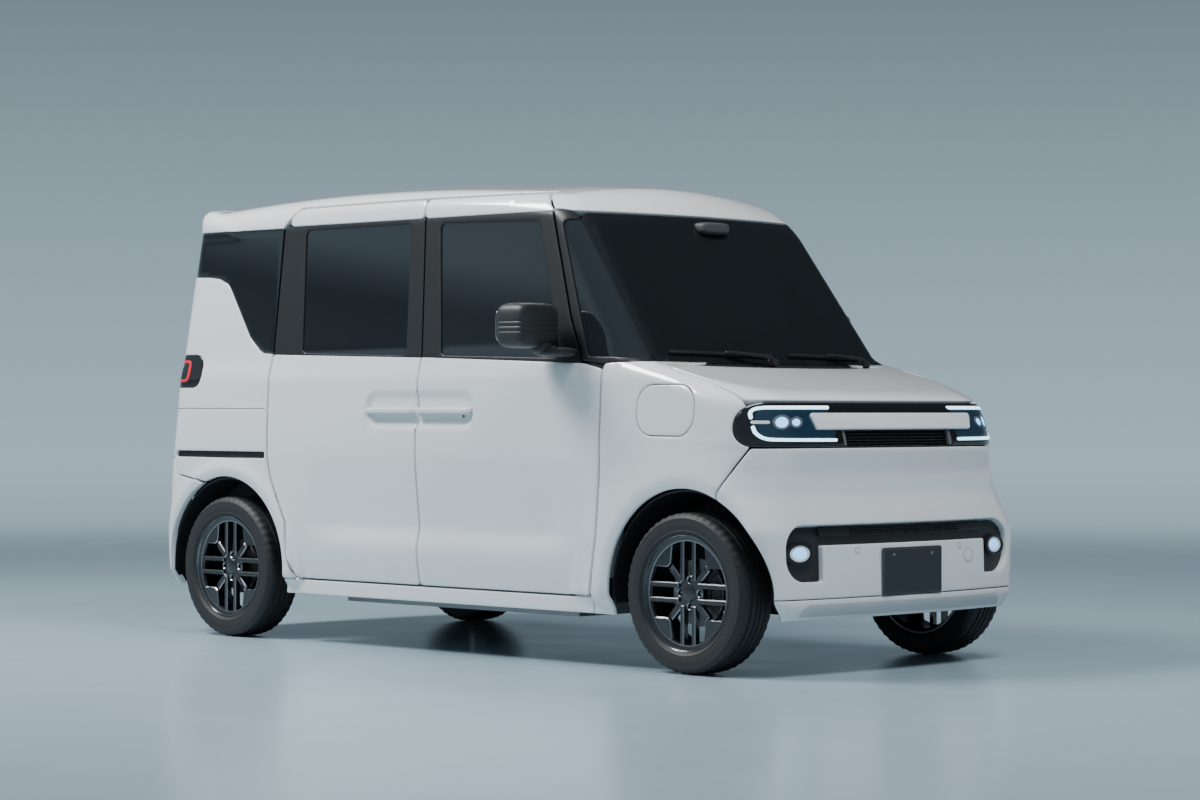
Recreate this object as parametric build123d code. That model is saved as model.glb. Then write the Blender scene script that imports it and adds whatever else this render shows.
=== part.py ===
"""Small electric kei car: body panels, glass, doors, lids, seats, running gear and wheels.

Frame: X forward, Y to the car's left, Z up. The origin lies on the ground under the middle of the car.
All sizes are in millimetres.
"""
import os
from math import atan2, cos, hypot, pi, radians, sin, sqrt

from build123d import *

# Overall sizes of the car
LENGTH = 3395.0
WIDTH = 1475.0
HEIGHT = 1800.0
WHEELBASE = 2520.0
FRONT_OVERHANG = 427.5

# Wheels and tyres
TYRE_RADIUS = 281.0
TYRE_WIDTH = 165.0
TYRE_SHOULDER = 22.0
TYRE_SHOULDER_IN = 3.0
BEAD_RADIUS = 190.0
RIM_FLANGE_RADIUS = 203.0
RIM_WIDTH = 150.0
RIM_WALL = 10.0
SIDEWALL_INSET = 12.5
SPOKE_FACE_DEPTH = 22.0
SPOKE_FACE_OFFSET = 48.0
SPOKE_COUNT = 4
SPOKE_SLOT_INNER = 78.0
SPOKE_SLOT_OUTER = 165.0
SPOKE_SLOT_WIDTH = 74.0
HUB_RADIUS = 66.0
HUB_INNER_FACE = -12.0
ROTOR_RADIUS = 122.0
ROTOR_THICKNESS = 18.0
SPINDLE_RADIUS = 25.0
ARCH_RADIUS = 362.0
HOUSE_RADIUS = 352.0
LIP_RADIUS = 394.0
LINER_WALL = 6.0
FRONT_HOUSE_Y = 395.0
REAR_HOUSE_Y = 536.0

# Wall thicknesses and clearances
PANEL_T = 50.0
FRAME_T = 90.0
SKIN_T = 7.0
BAND_T = 30.0
ROOF_T = 40.0
GLASS_T = 5.0
PANE_LOW_Z = 1060.0
MIN_CORNER = 12.0
OVERLAP = 1.0
SHUT_GAP = 6.0
SEAT_GAP = 0.3
POCKET_GAP = 6.0
POCKET_DEPTH = 60.0

# Plan outlines of the lower body, from the sill up to the belt
NOSE_BOW = 4000.0
TAIL_BOW = 6000.0
LEVELS = (
    # z, side_in, nose_in, nose_corner, tail_in, tail_corner
    (180.0, 50.0, 22.0, 135.0, 22.0, 75.0),
    (262.0, 34.0, 0.0, 128.0, 4.0, 72.0),
    (380.0, 19.0, 3.0, 125.0, 0.0, 70.0),
    (485.0, 14.0, 7.0, 125.0, 0.0, 70.0),
    (560.0, 14.0, 32.0, 150.0, 4.0, 70.0),
    (640.0, 14.0, 57.0, 175.0, 8.0, 70.0),
    (736.0, 14.0, 52.0, 215.0, 20.0, 70.0),
    (790.0, 15.0, 45.0, 238.0, 26.0, 70.0),
    (944.0, 24.0, 98.0, 235.0, 36.0, 70.0),
    (964.0, 25.5, 118.0, 232.0, 37.0, 70.0),
    (990.0, 28.0, 165.0, 230.0, 38.0, 70.0),
    (1040.0, 32.0, 260.0, 228.0, 40.0, 70.0),
    (1140.0, 90.0, 420.0, 225.0, 85.0, 70.0),
)

# Plan outlines of the greenhouse, from below the belt up past the roof
SCREEN_BOW = 3000.0
GLASSHOUSE = (
    # z, half_width, nose_x, nose_corner, tail_x, tail_corner
    (1030.0, 702.0, 1141.0, 110.0, 1654.0, 70.0),
    (1140.0, 682.0, 1061.0, 110.0, 1649.5, 70.0),
    (1640.0, 628.0, 694.0, 100.0, 1602.0, 66.0),
    (1830.0, 606.0, 555.0, 100.0, 1572.0, 62.0),
)

# Roof crown across the car and roof line along it
CROWN_EDGE_Y = 640.0
CROWN_EDGE_DROP = 62.0
CROWN_CORNER = 95.0
ROOF_TOP_X = -250.0
ROOF_FRONT_X = 520.0
ROOF_FRONT_DROP = 42.0
HEADER_SLOPE = 0.40
ROOF_REAR_X = -1590.0
ROOF_REAR_DROP = 42.0
ROOF_CORNER = 70.0
HEADER_CORNER = 420.0

# Bonnet surface
BONNET_REF_X = 1105.0
BONNET_REF_Z = 1080.0
BONNET_SLOPE = 0.25
BONNET_HALF_W = 720.0
BONNET_CROWN = 10.0
BONNET_EDGE_R = 70.0
BONNET_EDGE_DEPTH = 68.0

# Wheel arch bulges: outer radius and how far inside the overall width the outer edge lies
FRONT_BULGE_R = 535.0
REAR_BULGE_R = 450.0
BULGE_INSET = 19.0
BULGE_BOTTOM = 300.0
BULGE_NOSE_IN = 20.0
BULGE_NOSE_CORNER = 165.0
BULGE_TAIL_CORNER = 84.0

# Door side outlines, x and z
FRONT_DOOR = (
    (-110.0, 250.0), (812.0, 250.0), (846.0, 470.0), (858.0, 720.0), (850.0, 1064.0),
    (738.0, 1088.0), (662.0, 1249.0), (520.0, 1652.0), (445.0, 1714.0), (-172.0, 1716.0), (-120.0, 1103.0),
)
SLIDING_DOOR = (
    (-110.0, 250.0), (-120.0, 1103.0), (-172.0, 1716.0), (-915.0, 1712.0), (-1000.0, 1636.0), (-1002.0, 1050.0),
    (-990.0, 720.0), (-970.0, 640.0), (-872.0, 470.0), (-858.0, 330.0), (-812.0, 250.0),
)
FRONT_DOOR_GLASS = ((-78.0, 1620.0), (-14.0, 1118.0), (628.0, 1102.0), (455.0, 1608.0))
SLIDING_DOOR_GLASS = ((-866.0, 1622.0), (-824.0, 1136.0), (-212.0, 1120.0), (-246.0, 1624.0))
REAR_QUARTER_GLASS = (
    (-1556.0, 1622.0), (-1560.0, 1458.0), (-1400.0, 1450.0), (-1325.0, 1418.0), (-1160.0, 1200.0),
    (-1068.0, 1142.0), (-1012.0, 1138.0), (-1012.0, 1628.0),
)
FRONT_QUARTER_GLASS = ((575.0, 1612.0), (768.0, 1106.0), (1030.0, 1100.0), (668.0, 1605.0))
DOOR_CORNER = 24.0
GLASS_CORNER = 22.0
FLANGE_LAP = 20.0
FENDER_TUCK = 10.0
SLIDING_PADS = ((-172.0, -142.0, 600.0, 660.0), (-988.0, -952.0, 900.0, 960.0))
FRONT_APERTURE = (
    (-40.0, 312.0), (768.0, 312.0), (792.0, 1010.0), (690.0, 1088.0), (500.0, 1590.0), (430.0, 1652.0),
    (-104.0, 1652.0), (-55.0, 1103.0),
)
SLIDING_APERTURE = (
    (-178.0, 312.0), (-186.0, 1103.0), (-236.0, 1652.0), (-880.0, 1652.0), (-936.0, 1590.0), (-936.0, 690.0),
    (-806.0, 470.0), (-790.0, 312.0),
)

# Valley pressed into the doors
VALLEY_TOP_Z = 728.0
VALLEY_FLOOR_Z = 471.0
VALLEY_LOW_Z = 384.0
VALLEY_DEPTH = 22.0
VALLEY_FLAT_X = 560.0
VALLEY_END_X = 800.0

# Body side, roof and cowl borders
POST_FRONT_X = 950.0
ROOF_RAIL_Z = 1714.0
HEADER_Z = 1640.0
ROOF_RAIL_FRONT_X = 530.0
ROOF_RAIL_REAR_X = -1008.0
SIDE_INNER_Y = 430.0
DOOR_INNER_Y = 560.0
SCREEN_LOW_Z = 1094.0
SCREEN_LOW_HALF = 622.0
SCREEN_TOP_HALF = 596.0
SCREEN_CORNER = 40.0
COWL_EDGE_X = 1150.0
COWL_BACK = 150.0
BONNET_HALF_SEAM = 640.0
BONNET_REAR_GAP = 12.0

# Nose: lamp band, bumper seam, lower opening, plate
BAND_BOTTOM_Z = 787.0
BAND_TOP_Z = 944.0
BAND_END_X = 1463.0
LAMP_INNER_Y = 348.0
BUMPER_SEAM = ((1519.0, 782.0), (1432.0, 632.0), (1400.0, 520.0))
LOWER_OPENING_HALF = 610.0
LOWER_OPENING_BOTTOM = 330.0
LOWER_OPENING_TOP = 520.0
LOWER_OPENING_CORNER = 80.0
CENTRE_PANEL_HALF = 448.0
CENTRE_PANEL_TOP = 452.0
LOWER_GRILLE_DEPTH = 60.0
FOG_RADIUS = 26.0
FOG_Y = 541.0
FOG_Z = 425.0
FOG_LENGTH = 45.0
PLATE_W = 330.0
PLATE_H = 165.0
PLATE_T = 3.0
PLATE_Z = 353.0
PLATE_RECESS = 14.0
PLATE_MARGIN = 8.0
PLATE_BOLT_SPACING = 210.0
PLATE_BOLT_RISE = 58.0
PLATE_BOLT_R = 3.5

# Charge lid
LID_BOX = (1039.0, 1310.0, 826.0, 1000.0)
LID_CORNER = 46.0
PORT_DEPTH = 62.0
PORT_WALL = 4.0

# Tail
TAILGATE_X = -1530.0
TAILGATE = ((590.0, 528.0), (600.0, 1000.0), (586.0, 1140.0), (548.0, 1640.0), (524.0, 1850.0))
TAILGATE_CORNER = 45.0
REAR_GLASS = ((512.0, 1150.0), (474.0, 1652.0))
REAR_BUMPER_SEAM = ((-1576.0, 717.0), (-1560.0, 645.0), (-1400.0, 622.0))
TAIL_LAMP = (-1438.0, 1000.0, 1135.0)
TAIL_LAMP_CORNER = 48.0

# Hinges: edge setback, depth below the skin, eye, arm
HINGE_BACK = 30.0
HINGE_DEPTH = 14.0
HINGE_EYE_R = 6.5
HINGE_PIN_R = 4.0
HINGE_PIN_FIT = 0.3
HINGE_ARM_NEAR = 27.0
HINGE_ARM_FAR = 36.0
HINGE_ARM_W = 36.0
HINGE_PIN_BITE = 12.0
HINGE_BITE = 24.0
DOOR_HINGE_Z = (600.0, 730.0)
LID_HINGE_ARM_W = 24.0
GATE_HINGE_Y = 330.0
BONNET_HINGE_Y = 520.0

# Floor, firewall and running gear
FLOOR_Z = 232.0
FLOOR_T = 30.0
FLOOR_FRONT_X = 890.0
FLOOR_REACH = 9.2
FIREWALL_T = 40.0
FIREWALL_TOP = 1030.0
KICK_X = -820.0
REAR_FLOOR_Z = 490.0
FLOOR_REAR_X = -1600.0
TOWER_Z = 806.0
TOWER_T = 40.0
TOWER_Y = 400.0
TOWER_W = 120.0
BATTERY_SIZE = (1300.0, 960.0, 78.0)
BATTERY_X = -130.0
DRIVE_SIZE = (300.0, 400.0, 440.0)
SUBFRAME_SIZE = (270.0, 600.0, 40.0)
SUBFRAME_LEG_W = 60.0
SUBFRAME_LEG_BACK = 60.0
ARM_WIDTH = 50.0
ARM_HEIGHT = 24.0
KINGPIN_LOW = (575.0, 190.0)
KINGPIN_HIGH = (460.0, 800.0)
KINGPIN_R = 12.0
KINGPIN_EYE_R = 28.0
KINGPIN_EYE_H = 30.0
STRUT_R = 25.0
UPRIGHT_SIZE = (64.0, 44.0, 150.0)
REAR_BEAM_X = -1120.0
REAR_BEAM_SIZE = (70.0, 60.0)
REAR_ARM_Y = 490.0
REAR_ARM_W = 40.0
REAR_ARM_H = 60.0
REAR_PIVOT_X = -880.0

# Cabin furniture
SEAT_Y = 320.0
SEAT_W = 470.0
SEAT_CORNER = 18.0
SEAT_PROFILE = (
    (400.0, 400.0), (420.0, 520.0), (400.0, 580.0), (-60.0, 560.0), (-225.0, 1100.0), (-330.0, 1090.0), (-190.0, 430.0),
    (-150.0, 400.0),
)
HEADREST_BOX = (-300.0, 1085.0, 90.0, 250.0, 200.0)
SEAT_BASE = (-60.0, 330.0, 380.0)
BENCH_HALF_W = 525.0
BENCH_PROFILE = (
    (-540.0, 410.0), (-530.0, 530.0), (-560.0, 580.0), (-960.0, 560.0), (-1090.0, 1090.0), (-1190.0, 1080.0),
    (-1070.0, 540.0), (-780.0, 530.0), (-780.0, 410.0),
)
BENCH_BASE = (-770.0, -620.0, 500.0)
DASH_PROFILE = ((700.0, 780.0), (655.0, 860.0), (640.0, 985.0), (740.0, 1062.0), (860.0, 1068.0))
DASH_LOW_Z = 700.0
DASH_HALF_W = 585.0
WHEEL_CENTRE = (505.0, -320.0, 975.0)
WHEEL_TILT = 24.0
WHEEL_RING_R = 172.0
WHEEL_RIM_R = 14.0
WHEEL_HUB_R = 52.0
COLUMN_R = 30.0
COLUMN_LENGTH = 260.0
WHEEL_SPOKE_W = 34.0

# Door mirrors
MIRROR_BOX = (505.0, 650.0, 1140.0, 1292.0)
MIRROR_IN_Y = 752.0
MIRROR_OUT_Y = 908.0
MIRROR_FILLET = 28.0
MIRROR_FOOT = (600.0, 720.0, 1112.0, 1150.0)

FAR = 4000.0

half_w = WIDTH / 2
half_l = LENGTH / 2
front_x = half_l - FRONT_OVERHANG
rear_x = front_x - WHEELBASE
axle_z = TYRE_RADIUS
wheel_y = half_w - SIDEWALL_INSET - TYRE_WIDTH / 2
bonnet_dir = Vector(1, 0, -BONNET_SLOPE)


def bonnet_z(x):
    return BONNET_REF_Z - BONNET_SLOPE * (x - BONNET_REF_X)


def box(x0, x1, y0, y1, z0, z1):
    centre = Location(((x0 + x1) / 2, (y0 + y1) / 2, (z0 + z1) / 2))
    return centre * Box(abs(x1 - x0), abs(y1 - y0), abs(z1 - z0))


def cyl_y(x, z, y0, y1, radius):
    return Location((x, (y0 + y1) / 2, z), (90, 0, 0)) * Cylinder(radius, abs(y1 - y0))


def cyl_z(x, y, z0, z1, radius):
    return Location((x, y, (z0 + z1) / 2)) * Cylinder(radius, abs(z1 - z0))


def rod(start, end, radius):
    axis = Vector(*end) - Vector(*start)
    plane = Plane(origin=Vector(*start), z_dir=axis)
    return extrude(plane * Circle(radius), axis.length)


def grow(points, amount):
    """Moves every edge of a closed outline outwards by amount."""
    turn = sum(
        points[i - 1][0] * points[i][1] - points[i][0] * points[i - 1][1] for i in range(len(points))
    )
    sign = 1.0 if turn > 0 else -1.0
    grown = []
    for i, here in enumerate(points):
        before = points[i - 1]
        after = points[(i + 1) % len(points)]
        lines = []
        for start, end in ((before, here), (here, after)):
            run = hypot(end[0] - start[0], end[1] - start[1])
            normal = (sign * (end[1] - start[1]) / run, -sign * (end[0] - start[0]) / run)
            lines.append((normal, normal[0] * here[0] + normal[1] * here[1] + amount))
        (n1, d1), (n2, d2) = lines
        det = n1[0] * n2[1] - n1[1] * n2[0]
        if abs(det) < 1e-6:
            grown.append((here[0] + n1[0] * amount, here[1] + n1[1] * amount))
        else:
            grown.append(((d1 * n2[1] - d2 * n1[1]) / det, (n1[0] * d2 - n2[0] * d1) / det))
    return tuple(grown)


def outline_face(points, corner, plane):
    if corner > 0:
        edge = FilletPolyline(*points, radius=corner, close=True)
    else:
        edge = Polyline(*points, close=True)
    return plane * make_face(edge.edges())


def side_prism(points, corner, y0, y1):
    """Extrudes an x, z outline across the car from y0 to y1."""
    face = outline_face(points, corner, Plane(origin=(0, y0, 0), x_dir=(1, 0, 0), z_dir=(0, -1, 0)))
    return extrude(face, abs(y1 - y0), dir=(0, 1 if y1 > y0 else -1, 0))


def cross_prism(points, corner, x0, x1):
    """Extrudes a y, z outline along the car from x0 to x1."""
    face = outline_face(points, corner, Plane(origin=(x0, 0, 0), x_dir=(0, 1, 0), z_dir=(1, 0, 0)))
    return extrude(face, abs(x1 - x0), dir=(1 if x1 > x0 else -1, 0, 0))


def both_sides(half_points):
    """Closes a table of half outline points (y, z) with its mirror image."""
    return tuple(half_points) + tuple((-y, z) for y, z in reversed(half_points))


def plan_end(x_end, bow, corner, half):
    cy = half - corner
    cx = x_end - bow + sqrt((bow - corner) ** 2 - cy ** 2)
    angle = atan2(cy, cx - (x_end - bow))
    tangent = (x_end - bow + bow * cos(angle), bow * sin(angle))
    middle = (angle + pi / 2) / 2
    return tangent, (cx + corner * cos(middle), cy + corner * sin(middle)), (cx, half)


def plan_face(z, half, nose_x, nose_bow, nose_corner, tail_x, tail_bow, tail_corner):
    """One level outline: bowed nose and tail, rounded corners, straight sides."""
    nt, nm, ns = plan_end(nose_x, nose_bow, nose_corner, half)
    tt, tm, ts = plan_end(tail_x, tail_bow, tail_corner, half)

    def at(x, y):
        return (x, y, z)

    edges = [
        ThreePointArc(at(nt[0], -nt[1]), at(nose_x, 0), at(*nt)),
        ThreePointArc(at(*nt), at(*nm), at(*ns)),
        Line(at(*ns), at(-ts[0], ts[1])),
        ThreePointArc(at(-ts[0], ts[1]), at(-tm[0], tm[1]), at(-tt[0], tt[1])),
        ThreePointArc(at(-tt[0], tt[1]), at(-tail_x, 0), at(-tt[0], -tt[1])),
        ThreePointArc(at(-tt[0], -tt[1]), at(-tm[0], -tm[1]), at(-ts[0], -ts[1])),
        Line(at(-ts[0], -ts[1]), at(ns[0], -ns[1])),
        ThreePointArc(at(ns[0], -ns[1]), at(nm[0], -nm[1]), at(nt[0], -nt[1])),
    ]
    return Face(Wire(edges))


def lower_body(inset):
    faces = []
    for z, side_in, nose_in, nose_corner, tail_in, tail_corner in LEVELS:
        faces.append(plan_face(
            z, half_w - side_in - inset, half_l - nose_in - inset, NOSE_BOW, max(nose_corner - inset, MIN_CORNER),
            half_l - tail_in - inset, TAIL_BOW, max(tail_corner - inset, MIN_CORNER)))
    body = loft(faces, ruled=True)
    start_x = BONNET_REF_X - COWL_EDGE_X / 2
    top = bonnet_z(start_x) - inset
    half = BONNET_HALF_W - inset
    crown = make_face([
        Line((-half, top - BONNET_EDGE_DEPTH - FAR), (-half, top - BONNET_CROWN)),
        ThreePointArc((-half, top - BONNET_CROWN), (0, top), (half, top - BONNET_CROWN)),
        Line((half, top - BONNET_CROWN), (half, top - BONNET_EDGE_DEPTH - FAR)),
        Line((half, top - BONNET_EDGE_DEPTH - FAR), (-half, top - BONNET_EDGE_DEPTH - FAR)),
    ])
    crown = fillet(crown.vertices().sort_by(Axis.Y)[-2:], max(BONNET_EDGE_R - inset, MIN_CORNER))
    above = Location((0, top - BONNET_EDGE_DEPTH + HEIGHT / 2)) * Rectangle(2 * WIDTH, HEIGHT)
    section = Plane(origin=(start_x, 0, 0), x_dir=(0, 1, 0), z_dir=(1, 0, 0)) * (above - crown)
    return body - extrude(section, LENGTH, dir=bonnet_dir)


def glasshouse(inset):
    faces = []
    for z, half, nose_x, nose_corner, tail_x, tail_corner in GLASSHOUSE:
        faces.append(plan_face(
            z, half - inset, nose_x - inset, SCREEN_BOW, max(nose_corner - inset, MIN_CORNER),
            tail_x - inset, TAIL_BOW, max(tail_corner - inset, MIN_CORNER)))
    body = loft(faces, ruled=True)
    top = HEIGHT - inset
    edge_y = CROWN_EDGE_Y - inset
    edge_z = top - CROWN_EDGE_DROP
    crown = make_face([
        Line((-edge_y, 0), (-edge_y, edge_z)),
        ThreePointArc((-edge_y, edge_z), (0, top), (edge_y, edge_z)),
        Line((edge_y, edge_z), (edge_y, 0)),
        Line((edge_y, 0), (-edge_y, 0)),
    ])
    crown = fillet(crown.vertices().sort_by(Axis.Y)[-2:], max(CROWN_CORNER - inset, MIN_CORNER))
    low = make_face(Polyline((-half_w, 0), (-half_w, HEADER_Z), (half_w, HEADER_Z), (half_w, 0), close=True).edges())
    across = Plane(origin=(-LENGTH, 0, 0), x_dir=(0, 1, 0), z_dir=(1, 0, 0)) * (crown + low)
    body = body & extrude(across, 2 * LENGTH)
    front = (ROOF_FRONT_X, top - ROOF_FRONT_DROP)
    rear = (ROOF_REAR_X + inset, top - ROOF_REAR_DROP)
    far_front = (LENGTH, front[1] - HEADER_SLOPE * (LENGTH - ROOF_FRONT_X))
    along = make_face([
        Line((LENGTH, -LENGTH), far_front),
        Line(far_front, front),
        ThreePointArc(front, (ROOF_TOP_X, top), rear),
        Line(rear, (-half_l - HEIGHT, rear[1] - HEIGHT * 3)),
        Line((-half_l - HEIGHT, rear[1] - HEIGHT * 3), (LENGTH, -LENGTH)),
    ])
    at_front = [v for v in along.vertices() if abs(v.X - front[0]) < 1 and abs(v.Y - front[1]) < 1]
    along = fillet(at_front, HEADER_CORNER)
    at_rear = [v for v in along.vertices() if abs(v.X - rear[0]) < 1 and abs(v.Y - rear[1]) < 1]
    along = fillet(at_rear, ROOF_CORNER)
    roof_line = Plane(origin=(0, WIDTH, 0), x_dir=(1, 0, 0), z_dir=(0, -1, 0)) * along
    return body & extrude(roof_line, 2 * WIDTH)


def pane_skin(inset):
    """Flat-sided greenhouse for the side glass, from below the panes up to the header."""
    low_row, high_row = GLASSHOUSE[1], GLASSHOUSE[2]
    share = (PANE_LOW_Z - low_row[0]) / (high_row[0] - low_row[0])
    rows = (tuple(a + share * (b - a) for a, b in zip(low_row, high_row)), high_row)
    faces = []
    for z, half, nose_x, nose_corner, tail_x, tail_corner in rows:
        faces.append(plan_face(
            z, half - inset, nose_x - inset, SCREEN_BOW, max(nose_corner - inset, MIN_CORNER),
            tail_x - inset, TAIL_BOW, max(tail_corner - inset, MIN_CORNER)))
    return loft(faces, ruled=True)


def bulge(x, radius, side):
    """Swelling of the body side around one wheel."""
    inner = half_w - 2 * BULGE_INSET
    section = make_face(Polyline(
        (0, inner), (radius, inner), (radius, half_w - BULGE_INSET), (LIP_RADIUS, half_w), (0, half_w),
        close=True).edges())
    plane = Plane(origin=(x, 0, axle_z), x_dir=(0, 0, 1), z_dir=(-side, 0, 0))
    ring = revolve(plane * section, Axis((x, 0, axle_z), (0, 1, 0)), 360)
    limit = plan_face(
        BULGE_BOTTOM, half_w, half_l - BULGE_NOSE_IN, NOSE_BOW, BULGE_NOSE_CORNER, half_l - BULGE_NOSE_IN,
        TAIL_BOW, BULGE_TAIL_CORNER)
    return ring & extrude(limit, radius + axle_z - BULGE_BOTTOM)


def one(shape):
    """The largest solid of a cut."""
    return max(shape.solids(), key=lambda solid: solid.volume)


def mirrored(shape):
    return mirror(shape, about=Plane.XZ)


def hinge(origin, to_panel, outward, arm_w):
    """A concealed hinge: arm for the moving panel, pin and pocket for the fixed side.

    to_panel points from the pin to the panel and outward points from the pin to the outer skin.
    """
    frame = Plane(origin=origin, x_dir=Vector(*to_panel), z_dir=Vector(*to_panel).cross(Vector(*outward)))
    reach = HINGE_BACK + HINGE_BITE
    eye = Cylinder(HINGE_EYE_R, arm_w)
    bore = Cylinder(HINGE_PIN_R + HINGE_PIN_FIT, arm_w)
    web = box(-HINGE_EYE_R, HINGE_EYE_R, -HINGE_ARM_FAR, 0, -arm_w / 2, arm_w / 2)
    leg = box(-HINGE_EYE_R, reach, -HINGE_ARM_FAR, -HINGE_ARM_NEAR, -arm_w / 2, arm_w / 2)
    pin = Cylinder(HINGE_PIN_R, arm_w + 2 * HINGE_PIN_BITE)
    half = arm_w / 2 + POCKET_GAP / 2
    pocket = box(
        -HINGE_EYE_R - POCKET_GAP, reach, -HINGE_ARM_FAR - POCKET_GAP, HINGE_DEPTH - SKIN_T, -half, half)
    return frame * (eye + web + leg - bore), frame * pin, frame * pocket


parts = {}

skins = {}
for depth in (0.0, SKIN_T, SKIN_T + GLASS_T, BAND_T, ROOF_T, PANEL_T, POCKET_DEPTH, FRAME_T):
    skins[depth] = (lower_body(depth), glasshouse(depth))
hulls = {depth: low + top for depth, (low, top) in skins.items()}
outer = hulls[0.0]
pane_slab = pane_skin(SKIN_T) - pane_skin(SKIN_T + GLASS_T)
liner_edge = half_w - 2 * BULGE_INSET + LINER_WALL
houses = []
for x, radius, inner_y in ((front_x, FRONT_BULGE_R, FRONT_HOUSE_Y), (rear_x, REAR_BULGE_R, REAR_HOUSE_Y)):
    for side in (-1, 1):
        outer = outer + bulge(x, radius, side)
        houses.append(cyl_y(x, axle_z, side * inner_y, side * liner_edge, HOUSE_RADIUS + LINER_WALL + SEAT_GAP))
        outer = outer - cyl_y(x, axle_z, side * liner_edge, side * WIDTH, ARCH_RADIUS)
for house in houses:
    outer = outer - house

right = (-WIDTH, -SIDE_INNER_Y)
half_gap = SHUT_GAP / 2


def valley():
    """Pressed valley along both doors on the right side."""
    side_y = half_w - LEVELS[3][1]
    low_y = half_w - LEVELS[2][1]
    faces = []
    for x, depth in ((-VALLEY_END_X, -OVERLAP), (-VALLEY_FLAT_X, VALLEY_DEPTH), (VALLEY_FLAT_X, VALLEY_DEPTH),
                     (VALLEY_END_X, -OVERLAP)):
        faces.append(Face(Wire(Polyline(
            (x, -side_y - VALLEY_DEPTH, VALLEY_TOP_Z), (x, -side_y, VALLEY_TOP_Z),
            (x, -side_y + depth, VALLEY_FLOOR_Z), (x, -low_y, VALLEY_LOW_Z),
            (x, -side_y - VALLEY_DEPTH, VALLEY_LOW_Z), close=True).edges())))
    return loft(faces, ruled=True)


# Front doors and sliding doors, right side first
press = valley()
gate_cut = both_sides(TAILGATE)
door_prism = {}
for name, outline, glass in (
        ("front", FRONT_DOOR, FRONT_DOOR_GLASS), ("sliding", SLIDING_DOOR, SLIDING_DOOR_GLASS)):
    panel = side_prism(grow(outline, -half_gap), DOOR_CORNER, -WIDTH, -DOOR_INNER_Y)
    pane = side_prism(glass, GLASS_CORNER, *right)
    door_prism[name] = side_prism(grow(outline, half_gap), DOOR_CORNER, -WIDTH, -DOOR_INNER_Y + SHUT_GAP)
    door = one((outer & panel) - hulls[PANEL_T] - pane - press)
    inset_pane = side_prism(grow(glass, -SEAT_GAP), GLASS_CORNER, *right)
    parts[name + "_door"] = door
    parts[name + "_glass"] = one(pane_slab & inset_pane)

# Zones of the nose and tail panels, cut across the whole car
wide = (-WIDTH, WIDTH)
band_outline = (
    (BAND_END_X, BAND_BOTTOM_Z), (BAND_END_X, BAND_TOP_Z), (LENGTH, BAND_TOP_Z), (LENGTH, BAND_BOTTOM_Z))
band_r = (BAND_TOP_Z - BAND_BOTTOM_Z) / 2 - OVERLAP
band_zone = side_prism(grow(band_outline, -SEAT_GAP), band_r - SEAT_GAP, *wide)
band_cut = side_prism(band_outline, band_r, *wide)
nose_floor = LEVELS[0][0] - SHUT_GAP
bumper_outline = BUMPER_SEAM + (
    (BUMPER_SEAM[-1][0], nose_floor), (LENGTH, nose_floor), (LENGTH, BUMPER_SEAM[0][1]))
bumper_zone = side_prism(grow(bumper_outline, -SEAT_GAP), 0, *wide)
bumper_cut = side_prism(bumper_outline, 0, *wide)
rear_outline = REAR_BUMPER_SEAM + (
    (front_x - WHEELBASE, REAR_BUMPER_SEAM[-1][1] - ARCH_RADIUS / 2), (rear_x, nose_floor), (-LENGTH, nose_floor),
    (-LENGTH, REAR_BUMPER_SEAM[0][1]))
rear_zone = side_prism(grow(rear_outline, -SEAT_GAP), 0, *wide)
rear_cut = side_prism(rear_outline, 0, *wide)
gate_zone = cross_prism(gate_cut, TAILGATE_CORNER, TAILGATE_X, -LENGTH)
gate_hole = cross_prism(grow(gate_cut, SHUT_GAP), TAILGATE_CORNER, TAILGATE_X + SHUT_GAP, -LENGTH)
screen_outline = both_sides(((SCREEN_LOW_HALF, SCREEN_LOW_Z), (SCREEN_TOP_HALF, HEADER_Z)))
screen_back = ROOF_RAIL_FRONT_X + FRAME_T
screen_zone = cross_prism(grow(screen_outline, -SEAT_GAP), SCREEN_CORNER, screen_back, LENGTH)
screen_cut = cross_prism(screen_outline, SCREEN_CORNER, screen_back, LENGTH)

# Body side with sill, pillars and rear quarter
side_plane = Plane(origin=(0, -WIDTH, 0), x_dir=(1, 0, 0), z_dir=(0, -1, 0))
side_depth = WIDTH - SIDE_INNER_Y


def side_face(points, corner):
    return outline_face(points, corner, side_plane)


def side_extrude(face):
    return extrude(face, side_depth, dir=(0, 1, 0))


door_edge = tuple((x - FENDER_TUCK, z) for x, z in FRONT_DOOR[1:5])
fender_outline = ((door_edge[0][0], nose_floor),) + door_edge + (
    (door_edge[-1][0], SCREEN_LOW_Z), (half_l, SCREEN_LOW_Z), (half_l, nose_floor))
fender_zone = side_prism(grow(fender_outline, -SEAT_GAP), 0, -WIDTH, -BONNET_HALF_SEAM - half_gap)
side_outline = (
    (POST_FRONT_X, nose_floor), (POST_FRONT_X, SCREEN_LOW_Z), (LENGTH, SCREEN_LOW_Z), (LENGTH, HEADER_Z),
    (ROOF_RAIL_FRONT_X, HEADER_Z), (ROOF_RAIL_FRONT_X, ROOF_RAIL_Z), (ROOF_RAIL_REAR_X, ROOF_RAIL_Z),
    (ROOF_RAIL_REAR_X, HEADER_Z), (-LENGTH, HEADER_Z), (-LENGTH, nose_floor))
lamp_x, lamp_low, lamp_high = TAIL_LAMP
lamp_outline = ((lamp_x, lamp_low), (lamp_x, lamp_high), (-LENGTH, lamp_high), (-LENGTH, lamp_low))
lamp_y = TAILGATE[1][0] + SHUT_GAP
lamp_zone = side_prism(grow(lamp_outline, -SEAT_GAP), TAIL_LAMP_CORNER, -WIDTH, -lamp_y)
whole = side_face(side_outline, 0)
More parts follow.
